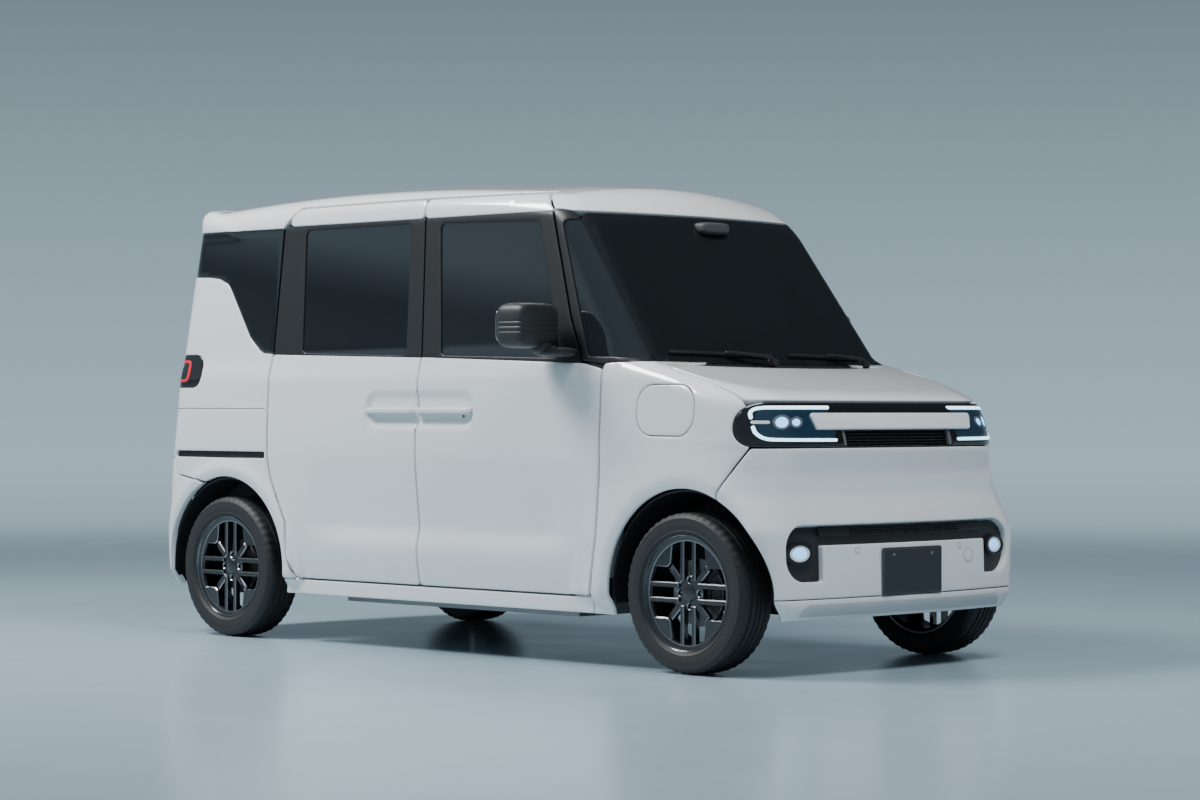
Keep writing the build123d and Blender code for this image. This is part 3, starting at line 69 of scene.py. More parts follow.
def material(name, colour, rough, metal=0.0, coat=0.0, alpha=1.0, noise=0.0, scale=40.0, bump=0.0, glow=None,
             power=0.0, sheen=0.0):
    """Principled surface whose roughness, and bump where asked, follow a fine noise."""
    mat = bpy.data.materials.new(name)
    mat.use_nodes = True
    tree = mat.node_tree
    bsdf = tree.nodes["Principled BSDF"]
    bsdf.inputs["Base Color"].default_value = (*colour, 1.0)
    bsdf.inputs["Roughness"].default_value = rough
    bsdf.inputs["Metallic"].default_value = metal
    bsdf.inputs["Coat Weight"].default_value = coat
    bsdf.inputs["Coat Roughness"].default_value = COAT_ROUGH
    bsdf.inputs["Alpha"].default_value = alpha
    bsdf.inputs["Sheen Weight"].default_value = sheen
    if glow:
        bsdf.inputs["Emission Color"].default_value = (*glow, 1.0)
        bsdf.inputs["Emission Strength"].default_value = power
    coord = add_node(tree, "ShaderNodeTexCoord")
    tex = add_node(tree, "ShaderNodeTexNoise", {"Scale": scale, "Detail": NOISE_DETAIL})
    tree.links.new(coord.outputs["Object"], tex.inputs["Vector"])
    ramp = add_node(tree, "ShaderNodeMapRange", {"To Min": max(rough - noise, 0.0), "To Max": rough + noise})
    tree.links.new(tex.outputs["Fac"], ramp.inputs["Value"])
    tree.links.new(ramp.outputs["Result"], bsdf.inputs["Roughness"])
    if bump > 0:
        node = add_node(tree, "ShaderNodeBump", {"Strength": bump, "Distance": BUMP_REACH})
        tree.links.new(tex.outputs["Fac"], node.inputs["Height"])
        tree.links.new(node.outputs["Normal"], bsdf.inputs["Normal"])
    return mat


PAINT = material("pearl_paint", (0.74, 0.755, 0.765), 0.22, coat=1.0, noise=0.02, scale=900.0)
SEAM = material("seam_dark", (0.010, 0.010, 0.011), 0.7, noise=0.05)
BLACK = material("pillar_black", (0.010, 0.010, 0.011), 0.42, noise=0.04, scale=300.0)
PLASTIC = material("grained_plastic", (0.018, 0.018, 0.019), 0.50, noise=0.06, scale=700.0, bump=0.15)
PIANO = material("lamp_black", (0.007, 0.007, 0.008), 0.16, coat=0.4, noise=0.02)
GLASS = material("tinted_glass", (0.012, 0.015, 0.018), 0.02, coat=1.0, alpha=0.80, noise=0.005)
PRIVACY = material("privacy_glass", (0.006, 0.008, 0.010), 0.02, coat=1.0, alpha=0.93, noise=0.005)
SCREEN = material("screen_glass", (0.010, 0.012, 0.014), 0.02, coat=0.2, alpha=0.84, noise=0.005)
SILVER = material("satin_silver", (0.80, 0.81, 0.82), 0.30, metal=0.1, noise=0.03, scale=500.0)
GREY = material("grey_trim", (0.16, 0.165, 0.17), 0.35, metal=0.3, noise=0.04, scale=400.0)
GLOW = material("light_bar", (0.75, 0.93, 1.0), 0.2, glow=(0.42, 0.84, 1.0), power=2.4, noise=0.02)
BEAM = material("projector_light", (0.45, 0.75, 1.0), 0.1, glow=(0.10, 0.42, 1.0), power=2.2, noise=0.02)
# Red lens with a faint emission glow, as for a lit lamp; the rear reflectors use it too, which gives them a
# painted glow
RED = material("red_lens", (0.55, 0.010, 0.012), 0.12, coat=1.0, glow=(0.9, 0.02, 0.02), power=0.25, noise=0.02)
RUBBER = material("tyre_rubber", (0.016, 0.016, 0.017), 0.62, noise=0.10, scale=220.0, bump=0.25)
RIM = material("rim_paint", (0.030, 0.030, 0.033), 0.22, metal=0.55, coat=0.7, noise=0.04, scale=160.0)
EDGE = material("machined_edge", (0.24, 0.25, 0.26), 0.26, metal=0.95, noise=0.06, scale=600.0)
STEEL = material("brake_steel", (0.30, 0.30, 0.31), 0.38, metal=0.9, noise=0.08, scale=240.0)
CHASSIS = material("chassis_black", (0.014, 0.014, 0.015), 0.55, noise=0.10, scale=90.0, bump=0.2)
ALLOY = material("cast_alloy", (0.34, 0.35, 0.36), 0.5, metal=0.8, noise=0.1, scale=120.0, bump=0.2)
FABRIC = material("seat_fabric", (0.30, 0.295, 0.285), 0.85, noise=0.08, scale=900.0, bump=0.5, sheen=0.4)
TRIM = material("cabin_trim", (0.055, 0.056, 0.060), 0.6, noise=0.08, scale=500.0, bump=0.2)
LINING = material("head_lining", (0.42, 0.42, 0.41), 0.9, noise=0.05, scale=600.0, bump=0.2)
DISPLAY = material("display", (0.004, 0.005, 0.006), 0.08, coat=1.0, noise=0.01)
LAMP_BLUE = material("lamp_inside", (0.006, 0.014, 0.026), 0.12, coat=0.5, glow=(0.04, 0.14, 0.26), power=0.12,
                     noise=0.02)
FOG = material("fog_light", (0.6, 0.8, 1.0), 0.1, coat=0.6, glow=(0.14, 0.48, 1.0), power=1.5, noise=0.02)
SATIN = material("satin_paint", (0.50, 0.515, 0.53), 0.36, metal=0.2, coat=0.4, noise=0.03, scale=700.0)
CHROME = material("mirror_silver", (0.75, 0.76, 0.78), 0.03, metal=1.0, noise=0.01)
PLATE = material("blank_plate", (0.012, 0.014, 0.018), 0.35, coat=0.3, noise=0.04, scale=300.0)

# Body surface: plan outlines against height, rounded where they meet the bonnet and the roof
LEVELS = np.array((
    # z, half width, nose x, nose corner, tail x, tail corner
    (180, 687, 1675, 135, 1675, 75), (262, 703, 1697, 128, 1693, 72), (380, 718.5, 1695, 125, 1697, 70),
    (485, 723.5, 1690, 128, 1697, 70), (560, 723.5, 1666, 150, 1693, 70), (640, 723.5, 1641, 178, 1689, 70),
    (690, 723.5, 1640, 198, 1684, 70), (736, 723.5, 1645, 215, 1677, 70), (790, 722.5, 1652, 238, 1671, 70),
    (860, 719.0, 1634, 238, 1666, 70), (944, 713.5, 1599, 235, 1661, 70), (964, 712.2, 1580, 232, 1660, 70),
    (990, 710.0, 1532, 230, 1659, 70), (1036, 706.5, 1446, 228, 1657, 70), (1046, 704.0, 1428, 228, 1657, 70),
    (1090, 692.0, 1352, 226, 1653, 70), (1112, 674.0, 1310, 225, 1640, 70), (1150, 632.0, 1240, 225, 1600, 70),
), float)
GLASSHOUSE = np.array((
    (1030, 702, 1141, 110, 1654, 70), (1140, 684, 1061, 110, 1649.5, 70), (1640, 628, 694, 100, 1602, 66),
    (1830, 606, 555, 100, 1572, 62),
), float)


def smooth(xs, ys):
    """Monotone cubic through a table."""
    h = np.diff(xs)
    d = np.diff(ys) / h
    m = np.concatenate(([d[0]], np.zeros(len(d) - 1), [d[-1]]))
    for i in range(1, len(d)):
        if d[i - 1] * d[i] > 0:
            w1, w2 = 2 * h[i] + h[i - 1], h[i] + 2 * h[i - 1]
            m[i] = (w1 + w2) / (w1 / d[i - 1] + w2 / d[i])

    def at(x):
        x = np.clip(x, xs[0], xs[-1])
        i = np.clip(np.searchsorted(xs, x) - 1, 0, len(h) - 1)
        t = (x - xs[i]) / h[i]
        a = ys[i] * (1 + 2 * t) * (1 - t) ** 2 + ys[i + 1] * t * t * (3 - 2 * t)
        return a + h[i] * t * (1 - t) * (m[i] * (1 - t) - m[i + 1] * t)
    return at


low_rows = [smooth(LEVELS[:, 0], LEVELS[:, i]) for i in range(1, 6)]
valley_row = smooth(np.array((370, 384, 398, 440, 462, 474, 500, 600, 700, 728, 745.0)),
                    np.array((0, 0.6, 2.5, 14.5, 20.6, 21.8, 20.3, 11.2, 2.2, 0.4, 0.0)))


def step01(t):
    t = np.clip(t, 0, 1)
    return t * t * (3 - 2 * t)


def round_max(a, b, r):
    qa, qb = a + r, b + r
    return np.hypot(np.maximum(qa, 0), np.maximum(qb, 0)) + np.minimum(np.maximum(qa, qb), 0) - r


def pill(x, z, x0, x1, z0, z1, r):
    """Signed distance to a rounded rectangle in side view."""
    qx = np.abs(x - (x0 + x1) / 2) - (x1 - x0) / 2 + r
    qz = np.abs(z - (z0 + z1) / 2) - (z1 - z0) / 2 + r
    return np.hypot(np.maximum(qx, 0), np.maximum(qz, 0)) + np.minimum(np.maximum(qx, qz), 0) - r


# Handle recess as x, z and corner radius, with a deeper pocket behind each handle
HANDLE = (-418.0, 206.0, 836.0, 986.0, 66.0)
HANDLE_DEPTH, HANDLE_EASE = 20.0, 40.0
POCKETS = (-288.0, 48.0)
POCKET_DEPTH, POCKET_HALF, POCKET_Z, POCKET_R, POCKET_EASE = 13.0, 44, (922, 974), 24, 18.0
# Wheel-arch flares: centre and outer radius, then how they fall away, turn in at the lip and blend in
FLARES = ((FRONT_X, 535.0), (REAR_X, 452.0))
FLARE_HALF, FLARE_DROP, FLARE_FALL = 737.5, 21.0, 70.0
FOOT_DROP, FOOT_Z, FOOT_RUN = 40.0, 270, 80
LIP_TURN, BLEND_RISE, BLEND_RUN = 7.0, 4.0, 6.0
VALLEY_END, VALLEY_RUN = 815, 270


def side_half(x, z, base):
    """Half width with arch flares, door valley and handle recess."""
    half = base
    for cx, big in FLARES:
        r = np.hypot(x - cx, z - AXLE_Z)
        t = (r - LIP_R) / (big - LIP_R)
        lip = FLARE_HALF - FLARE_DROP * step01(t) - FLARE_FALL * np.maximum(t - 1, 0)
        lip = lip - FOOT_DROP * step01((FOOT_Z - z) / FOOT_RUN)
        lip = np.where(r < LIP_R, lip - LIP_TURN * np.clip((LIP_R - r) / (LIP_R - ARCH_R), 0, 1), lip)
        half = np.maximum(half, lip) + BLEND_RISE * np.exp(-((half - lip) / BLEND_RUN) ** 2) * step01(t * 3)
    half = half - valley_row(z) * step01((VALLEY_END - np.abs(x)) / VALLEY_RUN)
    for cx in POCKETS:
        inside = -pill(x, z, cx - POCKET_HALF, cx + POCKET_HALF, *POCKET_Z, POCKET_R)
        half = half - POCKET_DEPTH * step01(inside / POCKET_EASE)
    return half - recess(x, z)


def recess(x, z):
    return HANDLE_DEPTH * step01(-pill(x, z, *HANDLE) / HANDLE_EASE)


def plan(x, y, half, nose, nose_r, tail, tail_r, nose_bow, tail_bow):
    front = x > 0
    a = np.where(front, x - nose + y * y / (2 * nose_bow), -x - tail + y * y / (2 * tail_bow))
    r = np.where(front, nose_r, tail_r)
    return round_max(a, np.abs(y) - half, r)


# Roof: bowed along its length, with a brow over the windscreen and a crown across
ROOF_TOP, ROOF_PEAK_X, ROOF_BOW = 1801.0, -535.0, 24600.0
BROW_X, BROW_Z, BROW_SLOPE, BROW_EASE, BROW_CUT = 520.0, 1757.0, 0.42, 60.0, 8.0
ROOF_CROWN, ROOF_HALF = 62.0, 640.0


def roof_z(x, y):
    top = ROOF_TOP - (x - ROOF_PEAK_X) ** 2 / ROOF_BOW
    front = BROW_Z - BROW_SLOPE * (x - BROW_X)
    line = -round_max(-top, -front, 0.0)
    gap = np.clip(1 - np.abs(top - front) / BROW_EASE, 0, 1)
    return line - BROW_CUT * gap * gap - ROOF_CROWN * (y / ROOF_HALF) ** 2


# Bonnet plane, bows of nose, screen and tail in plan, and edge radii
BONNET_X, BONNET_Z, BONNET_SLOPE, BONNET_CROWN, BONNET_HALF = 1105.0, 1080.0, 0.25, 10.0, 720.0
BONNET_SCALE, BONNET_R, ROOF_R = 0.97, 55.0, 70.0
NOSE_BOW, SCREEN_BOW, TAIL_BOW = 4000.0, 3000.0, 6000.0
SCREEN_X, SCREEN_SCALE = 300, 0.85


def body(p):
    """Below zero inside the car's outer skin."""
    x, y, z = p[:, 0], p[:, 1], p[:, 2]
    half, nose, nose_r, tail, tail_r = [row(z) for row in low_rows]
    low = plan(x, y, side_half(x, z, half), nose, nose_r, tail, tail_r, NOSE_BOW, TAIL_BOW)
    bonnet = z - (BONNET_Z - BONNET_SLOPE * (x - BONNET_X) - BONNET_CROWN * (y / BONNET_HALF) ** 2)
    low = round_max(low, bonnet * BONNET_SCALE, BONNET_R)
    half, nose, nose_r, tail, tail_r = [np.interp(z, GLASSHOUSE[:, 0], GLASSHOUSE[:, i]) for i in range(1, 6)]
    top = plan(x, y, half, nose, nose_r, tail, tail_r, SCREEN_BOW, TAIL_BOW)
    top = round_max(top * np.where(x > SCREEN_X, SCREEN_SCALE, 1.0), z - roof_z(x, y), ROOF_R)
    return np.minimum(low, top)


RAY_REACH, RAY_HALVINGS, NORMAL_STEP = 1800.0, 27, 1.5


def cast(origin, direction):
    """Points where rays from inside meet the skin."""
    low = np.zeros(len(origin))
    high = np.full(len(origin), RAY_REACH)
    for _ in range(RAY_HALVINGS):
        mid = (low + high) / 2
        inside = body(origin + direction * mid[:, None]) < 0
        low = np.where(inside, mid, low)
        high = np.where(inside, high, mid)
    return origin + direction * low[:, None]


def normals(p):
    g = np.stack([body(p + d) - body(p - d) for d in np.eye(3) * NORMAL_STEP], axis=1)
    return g / np.maximum(np.linalg.norm(g, axis=1, keepdims=True), 1e-9)


def columns(*cols):
    cols = np.broadcast_arrays(*[np.asarray(c, float) for c in cols])
    return np.stack([c.ravel() for c in cols], axis=1)


# Charts: a flat map of part of the skin, with rays that find the surface
def polar_chart(origin, turn, radius):
    """Rays in the plane of a turn about an axis; turn is 'front', 'rear', 'wing' or 'cap'."""
    ox, oy, oz = origin

    def rays(uv):
        u, v = uv[:, 0], uv[:, 1]
        if turn == "front":
            return columns(ox, oy, v), columns(np.cos(u / radius), np.sin(u / radius), 0 * u)
        if turn == "rear":
            return columns(ox, oy, v), columns(-np.cos(u / radius), np.sin(u / radius), 0 * u)
        if turn == "wing":
            return columns(u, oy, oz), columns(0 * u, -np.cos(v / radius), np.sin(v / radius))
        return columns(ox, u, oz), columns(-np.cos(v / radius), 0 * u, np.sin(v / radius))

    def flat(p):
        x, y, z = p[:, 0], p[:, 1], p[:, 2]
        if turn == "front":
            return columns(np.arctan2(y - oy, x - ox) * radius, z)
        if turn == "rear":
            return columns(np.arctan2(y - oy, ox - x) * radius, z)
        if turn == "wing":
            return columns(x, np.arctan2(z - oz, oy - y) * radius)
        return columns(y, np.arctan2(z - oz, ox - x) * radius)
    return rays, flat


def roof_chart(axis_z, radius, end_x, end_radius):
    """Rays across the car that lean back behind end_x, so they also meet the tail corners."""
    def rays(uv):
        lean = np.maximum(end_x - uv[:, 0], 0) / end_radius
        turn = uv[:, 1] / radius
        way = columns(-np.sin(lean), np.cos(lean) * np.sin(turn), np.cos(lean) * np.cos(turn))
        return columns(np.maximum(uv[:, 0], end_x), 0, axis_z), way

    def flat(p):
        x, y, z = p[:, 0], p[:, 1], p[:, 2]
        lean = np.arctan2(np.maximum(end_x - x, 0), np.hypot(y, z - axis_z))
        return columns(np.where(x < end_x, end_x - lean * end_radius, x), np.arctan2(y, z - axis_z) * radius)
    return rays, flat


def straight_chart(axes, start, direction):
    def rays(uv):
        origin = np.zeros((len(uv), 3))
        origin[:, axes[0]] = uv[:, 0]
        origin[:, axes[1]] = uv[:, 1]
        fixed = 3 - axes[0] - axes[1]
        origin[:, fixed] = start
        way = np.zeros((len(uv), 3))
        way[:, fixed] = direction
        return origin, way

    def flat(p):
        return p[:, list(axes)]
    return rays, flat


SIDE = straight_chart((0, 2), -150.0, -1.0)
TOP = straight_chart((0, 1), 700.0, 1.0)
NOSE = straight_chart((1, 2), 200.0, 1.0)
TAIL = straight_chart((1, 2), -1000.0, -1.0)
WING = polar_chart((0, -430.0, 790.0), "wing", 290.0)
FRONT = polar_chart((1180.0, 0.0, 0.0), "front", 600.0)
REAR = polar_chart((-1150.0, 0.0, 0.0), "rear", 650.0)
PILLAR = polar_chart((300.0, 0.0, 0.0), "front", 650.0)
ROOF = roof_chart(1250.0, 560.0, -1250.0, 450.0)
CAP = polar_chart((-1430.0, 0.0, 1560.0), "cap", 190.0)


def spots(chart, points):
    return cast(*chart[0](np.array(points, float)))


# Flat outlines; steps between their points along runs and around panels
RUN_STEP, EDGE_STEP = 9.0, 11.0
FAR = 2000


def grow(points, amount):
    pts = np.array(points, float)
    nxt = np.roll(pts, -1, axis=0)
    turn = np.sum(pts[:, 0] * nxt[:, 1] - nxt[:, 0] * pts[:, 1])
    edge = nxt - pts
    edge /= np.linalg.norm(edge, axis=1, keepdims=True)
    normal = np.stack([edge[:, 1], -edge[:, 0]], axis=1) * (1 if turn > 0 else -1)
    before = np.roll(normal, 1, axis=0)
    bisect = normal + before
    scale = np.maximum(np.sum(bisect * normal, axis=1), 0.35)
    return pts + bisect / scale[:, None] * amount


def rounded(points, radius, step=RUN_STEP):
    """Closed outline with rounded corners; radius is one value or one per point."""
    pts = np.array(points, float)
    count = len(pts)
    radii = np.broadcast_to(radius, count)
    out = []
    for i in range(count):
        here, before, after = pts[i], pts[i - 1], pts[(i + 1) % count]
        a, b = before - here, after - here
        la, lb = np.linalg.norm(a), np.linalg.norm(b)
        a, b = a / la, b / lb
        angle = math.acos(np.clip(a @ b, -1, 1))
        cut = min(radii[i] / max(math.tan(angle / 2), 1e-6), 0.49 * la, 0.49 * lb)
        r = cut * math.tan(angle / 2)
        if r < 0.2 or angle > math.pi - 0.02:
            out.append(here)
            continue
        centre = here + (a + b) / np.linalg.norm(a + b) * (r / math.sin(angle / 2))
        p0, p1 = here + a * cut - centre, here + b * cut - centre
        sweep = math.pi - angle
        n = min(max(int(math.ceil(sweep * r / 6.0)), 3), 14)
        for k in range(n + 1):
            t = k / n
            w = (math.sin((1 - t) * sweep) * p0 + math.sin(t * sweep) * p1) / math.sin(sweep)
            out.append(centre + w)
    return resample(out, step)


def resample(points, step, closed=True):
    pts = np.array(points, float)
    out = []
    for i in range(len(pts) if closed else len(pts) - 1):
        a, b = pts[i], pts[(i + 1) % len(pts)]
        n = max(int(math.ceil(np.linalg.norm(b - a) / step)), 1)
        for k in range(n):
            out.append(a + (b - a) * k / n)
    if not closed:
        out.append(pts[-1])
    return np.array(out)


def clip(points, a, b):
    """Part of an outline on the left of the line from a to b."""
    pts = np.array(points, float)
    a, b = np.array(a, float), np.array(b, float)
    d = b - a
    side = d[0] * (pts[:, 1] - a[1]) - d[1] * (pts[:, 0] - a[0])
    out = []
    for i in range(len(pts)):
        j = (i + 1) % len(pts)
        if side[i] >= 0:
            out.append(pts[i])
        if (side[i] >= 0) != (side[j] >= 0):
            t = side[i] / (side[i] - side[j])
            out.append(pts[i] + (pts[j] - pts[i]) * t)
    return np.array(out)


def above_z(points, z):
    return clip(points, (-FAR, z), (FAR, z))


def below_z(points, z):
    return clip(points, (FAR, z), (-FAR, z))


def rect(x0, x1, z0, z1, radius, step=RUN_STEP):
    return rounded(((x0, z0), (x1, z0), (x1, z1), (x0, z1)), radius, step)


def whole(half):
    """Both halves of an outline, from the right half that starts and ends on the centre plane."""
    return np.concatenate([half, (half * MIRROR_Y)[::-1][1:-1]])


def loop_edges(loops):
    edges, base = [], 0
    for loop in loops:
        edges += [(base + i, base + (i + 1) % len(loop)) for i in range(len(loop))]
        base += len(loop)
    return edges


def arc(cx, cz, r, start, end, n=40):
    t = np.radians(np.linspace(start, end, n))
    return np.stack([cx + r * np.cos(t), cz + r * np.sin(t)], axis=1)


def inside_of(points, loops):
    hit = np.zeros(len(points), bool)
    x, y = points[:, 0][:, None], points[:, 1][:, None]
    for loop in loops:
        a, b = loop, np.roll(loop, -1, axis=0)
        cross = (a[:, 1] > y) != (b[:, 1] > y)
        rise = np.where(b[:, 1] == a[:, 1], 1e-9, b[:, 1] - a[:, 1])
        at = (b[:, 0] - a[:, 0]) * (y - a[:, 1]) / rise + a[:, 0]
        hit ^= (np.sum(cross & (x < at), axis=1) % 2).astype(bool)
    return hit


def edge_distance(points, loops):
    best = np.full(len(points), 1e9)
    for loop in loops:
        a, b = loop, np.roll(loop, -1, axis=0)
        ab = b - a
        size = np.maximum(np.sum(ab * ab, axis=1), 1e-9)
        for k in range(0, len(points), 2000):
            p = points[k:k + 2000]
            ap = p[:, None, :] - a[None]
            t = np.clip(np.sum(ap * ab, axis=2) / size, 0, 1)
            d = np.linalg.norm(ap - t[..., None] * ab, axis=2).min(axis=1)
            best[k:k + 2000] = np.minimum(best[k:k + 2000], d)
    return best


# Objects; triangles flatter than SLIVER are left out, and edges shallower than LEAST_ROLL stay square
SLIVER, LEAST_ROLL = 0.03, 0.5
ROLL_STEPS = (0.22, 0.55, 1.0)


def add_object(name, verts, faces, mats, face_mats=None, ride="body", slot=None, sharp=50.0):
    mesh = bpy.data.meshes.new(name)
    mesh.from_pydata([tuple(v) for v in np.asarray(verts) * MM], [], faces)
    for mat in mats:
        mesh.materials.append(mat)
    if face_mats is not None:
        mesh.polygons.foreach_set("material_index", np.asarray(face_mats, np.int32))
    mesh.validate()
    mesh.shade_smooth()
    mesh.set_sharp_from_angle(angle=math.radians(sharp))
    obj = bpy.data.objects.new(name, mesh)
    bpy.context.scene.collection.objects.link(obj)
    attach(obj, ride)
    return obj


def sheet_mesh(chart, outline, holes=(), grid=13.0, roll=4.0, thick=8.0, depth=0.0, sunk=None):
    """Panel cut from the skin: rolled edge, front, back and walls."""
    loops = [resample(loop, EDGE_STEP) for loop in (outline, *holes)]
    points = list(loops)
    for d in [share * roll for share in ROLL_STEPS] if roll > LEAST_ROLL else ():
        for k, loop in enumerate(loops):
            ring = grow(loop, -d if k == 0 else d)
            points.append(ring[(edge_distance(ring, loops) > 0.93 * d) & inside_of(ring, loops)])
    low, high = loops[0].min(axis=0), loops[0].max(axis=0)
    gx, gy = np.meshgrid(np.arange(low[0], high[0], grid), np.arange(low[1], high[1], grid))
    gx = gx + (np.arange(gx.shape[0]) % 2)[:, None] * grid / 2
    mesh_points = np.stack([gx.ravel(), gy.ravel()], axis=1)
    mesh_points = mesh_points[inside_of(mesh_points, loops)]
    mesh_points = mesh_points[edge_distance(mesh_points, loops) > roll + 0.42 * grid]
    points.append(mesh_points)
    flat = np.concatenate(points)
    out = delaunay_2d_cdt([Vector(p) for p in flat], loop_edges(loops), [], 0, 1e-4)
    uv = np.array([(p[0], p[1]) for p in out[0]])
    tris = np.array([f for f in out[2] if len(f) == 3])
    tris = tris[inside_of(uv[tris].mean(axis=1), loops)]
    a, b, c = uv[tris[:, 0]], uv[tris[:, 1]], uv[tris[:, 2]]
    area = (b[:, 0] - a[:, 0]) * (c[:, 1] - a[:, 1]) - (b[:, 1] - a[:, 1]) * (c[:, 0] - a[:, 0])
    longest = np.max([np.linalg.norm(q - p, axis=1) for p, q in ((a, b), (b, c), (c, a))], axis=0)
    tris = tris[np.abs(area) > SLIVER * longest]
    used = np.unique(tris)
    remap = -np.ones(len(uv), int)
    remap[used] = np.arange(len(used))
    uv, tris = uv[used], remap[tris]
    skin = cast(*chart[0](uv))
    normal = normals(skin)
    d = edge_distance(uv, loops)
    sink = np.full(len(uv), depth)
    if roll > LEAST_ROLL:
        sink = sink + np.where(d < roll, roll - np.sqrt(np.maximum(roll ** 2 - (roll - d) ** 2, 0)), 0)
    if sunk:
        sink = sink + sunk(skin)
    front = skin - normal * sink[:, None]
    back = skin - normal * (depth + thick)
    p0, p1, p2 = front[tris[:, 0]], front[tris[:, 1]], front[tris[:, 2]]
    facing = np.sum(np.cross(p1 - p0, p2 - p0) * normal[tris[:, 0]], axis=1)
    tris = np.where((facing < 0)[:, None], tris[:, ::-1], tris)
    n = len(front)
    count = {}
    for t in tris:
        for k in range(3):
            count[(t[k], t[(k + 1) % 3])] = 1
    walls = [(j, i, i + n, j + n) for i, j in count if (j, i) not in count]
    faces = [tuple(t) for t in tris.tolist()] + [tuple(t[::-1]) for t in (tris + n).tolist()]
    faces += [tuple(int(v) for v in w) for w in walls]
    kinds = [0] * len(tris) + [1] * len(tris) + [2] * len(walls)
    return np.concatenate([front, back]), faces, kinds


def flip(verts, faces):
    return verts * MIRROR_Y, [tuple(reversed(f)) for f in faces]


def panel(name, chart, outline, holes=(), mats=None, ride="body", replaces=(), slot=None, **kw):
    """One panel, or a right and left pair when its name has HAND in it."""
    mats = mats or (PAINT, TRIM, PAINT)
    verts, faces, kinds = sheet_mesh(chart, outline, holes, **kw)
    for hand in ("right", "left") if "HAND" in name else ("",):
        v, f = flip(verts, faces) if hand == "left" else (verts, faces)
        obj = add_object(name.replace("HAND", hand), v, f, mats, kinds, ride.replace("HAND", hand), slot)
        for node in replaces:
            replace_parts(obj, node.replace("HAND", hand))


def flat_of(chart, *runs):
    """Outline of a chart from runs of skin points."""
    return chart[1](np.concatenate(runs))


def run(chart, points):
    return spots(chart, resample(points, RUN_STEP, False))


def side_run(points, closed=False):
    return spots(SIDE, resample(points, RUN_STEP, closed))


def faced(mat):
    """Materials of a panel with a dark back."""
    return mat, SEAM, mat


# Outlines in side view, x and z: doors, their glass, the openings behind them, quarter glass and belt line
FRONT_DOOR = (
    (-110, 250), (812, 250), (846, 470), (858, 720), (850, 1064), (738, 1088), (662, 1249), (520, 1652),
    (445, 1714), (-172, 1716), (-120, 1103))
SLIDING_DOOR = (
    (-110, 250), (-120, 1103), (-172, 1716), (-915, 1712), (-1000, 1636), (-1002, 1050), (-990, 720),
    (-970, 640), (-872, 470), (-858, 330), (-812, 250))
FRONT_GLASS = ((-78, 1620), (-14, 1118), (628, 1102), (455, 1608))
SLIDING_GLASS = ((-866, 1622), (-824, 1136), (-212, 1120), (-246, 1624))
FRONT_WAY = (
    (-40, 312), (768, 312), (792, 1010), (690, 1088), (500, 1590), (430, 1652), (-104, 1652), (-55, 1103))
SLIDING_WAY = (
    (-178, 312), (-186, 1103), (-236, 1652), (-880, 1652), (-936, 1590), (-936, 690), (-806, 470), (-790, 312))
QUARTER_FRONT = ((575, 1612), (768, 1106), (1030, 1100), (668, 1605))
BELT = ((-999.0, 1131.0), (-17.0, 1108.0), (854.0, 1079.0))
RAIL_Z = 1640.0
DOOR_DEPTH, DOOR_GAP = 46.0, 3.0
LIP_SEAM_Z, SEAM_HALF = 268.0, 1.5

# Doors: painted lower and upper skins, black window frame, glass
for door, glass, belt_a, belt_b, where, names, pane in (
        (FRONT_DOOR, FRONT_GLASS, BELT[1], BELT[2], "door_HAND_body", "front_door", GLASS),
        (SLIDING_DOOR, SLIDING_GLASS, BELT[0], BELT[1], "body", "sliding_door", PRIVACY)):
    edge = grow(door, -DOOR_GAP)
    lower = rounded(clip(edge, belt_b, belt_a), 16.0)
    upper = rounded(above_z(edge, RAIL_Z), 20.0)
    middle = rounded(below_z(clip(edge, belt_a, belt_b), RAIL_Z), 5.0)
    node = "front_door_HAND" if names == "front_door" else "sliding_doors"
    glass_node = "door_glass_HAND" if names == "front_door" else "sliding_door_glass"
    panel(names + "_HAND_skin", SIDE, lower, ride=where, replaces=(node,), slot="body_paint",
          thick=DOOR_DEPTH, grid=13.0)
    panel(names + "_HAND_top", SIDE, upper, ride=where, slot="body_paint", thick=30.0,
          mats=(PAINT, LINING, PAINT))
    panel(names + "_HAND_frame", SIDE, middle, [rounded(glass, 22.0)], mats=(BLACK, TRIM, BLACK), ride=where,
          slot="black_plastic", thick=38.0, depth=4.0, roll=3.0, grid=18.0)
    panel(names + "_HAND_glass", SIDE, rounded(grow(glass, 5.0), 24.0), mats=(pane, pane, SEAM), ride=where,
          replaces=(glass_node,), slot="tinted_glass", thick=5.0, depth=9.0, roll=0.0, grid=26.0)

# Frames behind the doors, with the openings
for door, way, names in ((FRONT_DOOR, FRONT_WAY, "front"), (SLIDING_DOOR, SLIDING_WAY, "rear")):
    panel(names + "_door_frame_HAND", SIDE, rounded(grow(door, 22.0), 30.0), [rounded(way, 40.0)],
          mats=(PAINT, TRIM, TRIM), slot="body_paint", thick=24.0, depth=62.0, roll=6.0, grid=24.0)
post = rounded(((866, 200), (866, 1070), (940, 1070), (915, 560), (890, 400), (866, 320)), 8.0)
panel("hinge_post_HAND", SIDE, post, slot="body_paint", thick=70.0, depth=14.0, roll=2.0, grid=24.0)

# Sill
sill = [(-893, 190), (814, 190), (820, 246), (-886, 246)]
panel("sill_HAND", SIDE, rounded(sill, 5.0), slot="body_paint", thick=60.0)

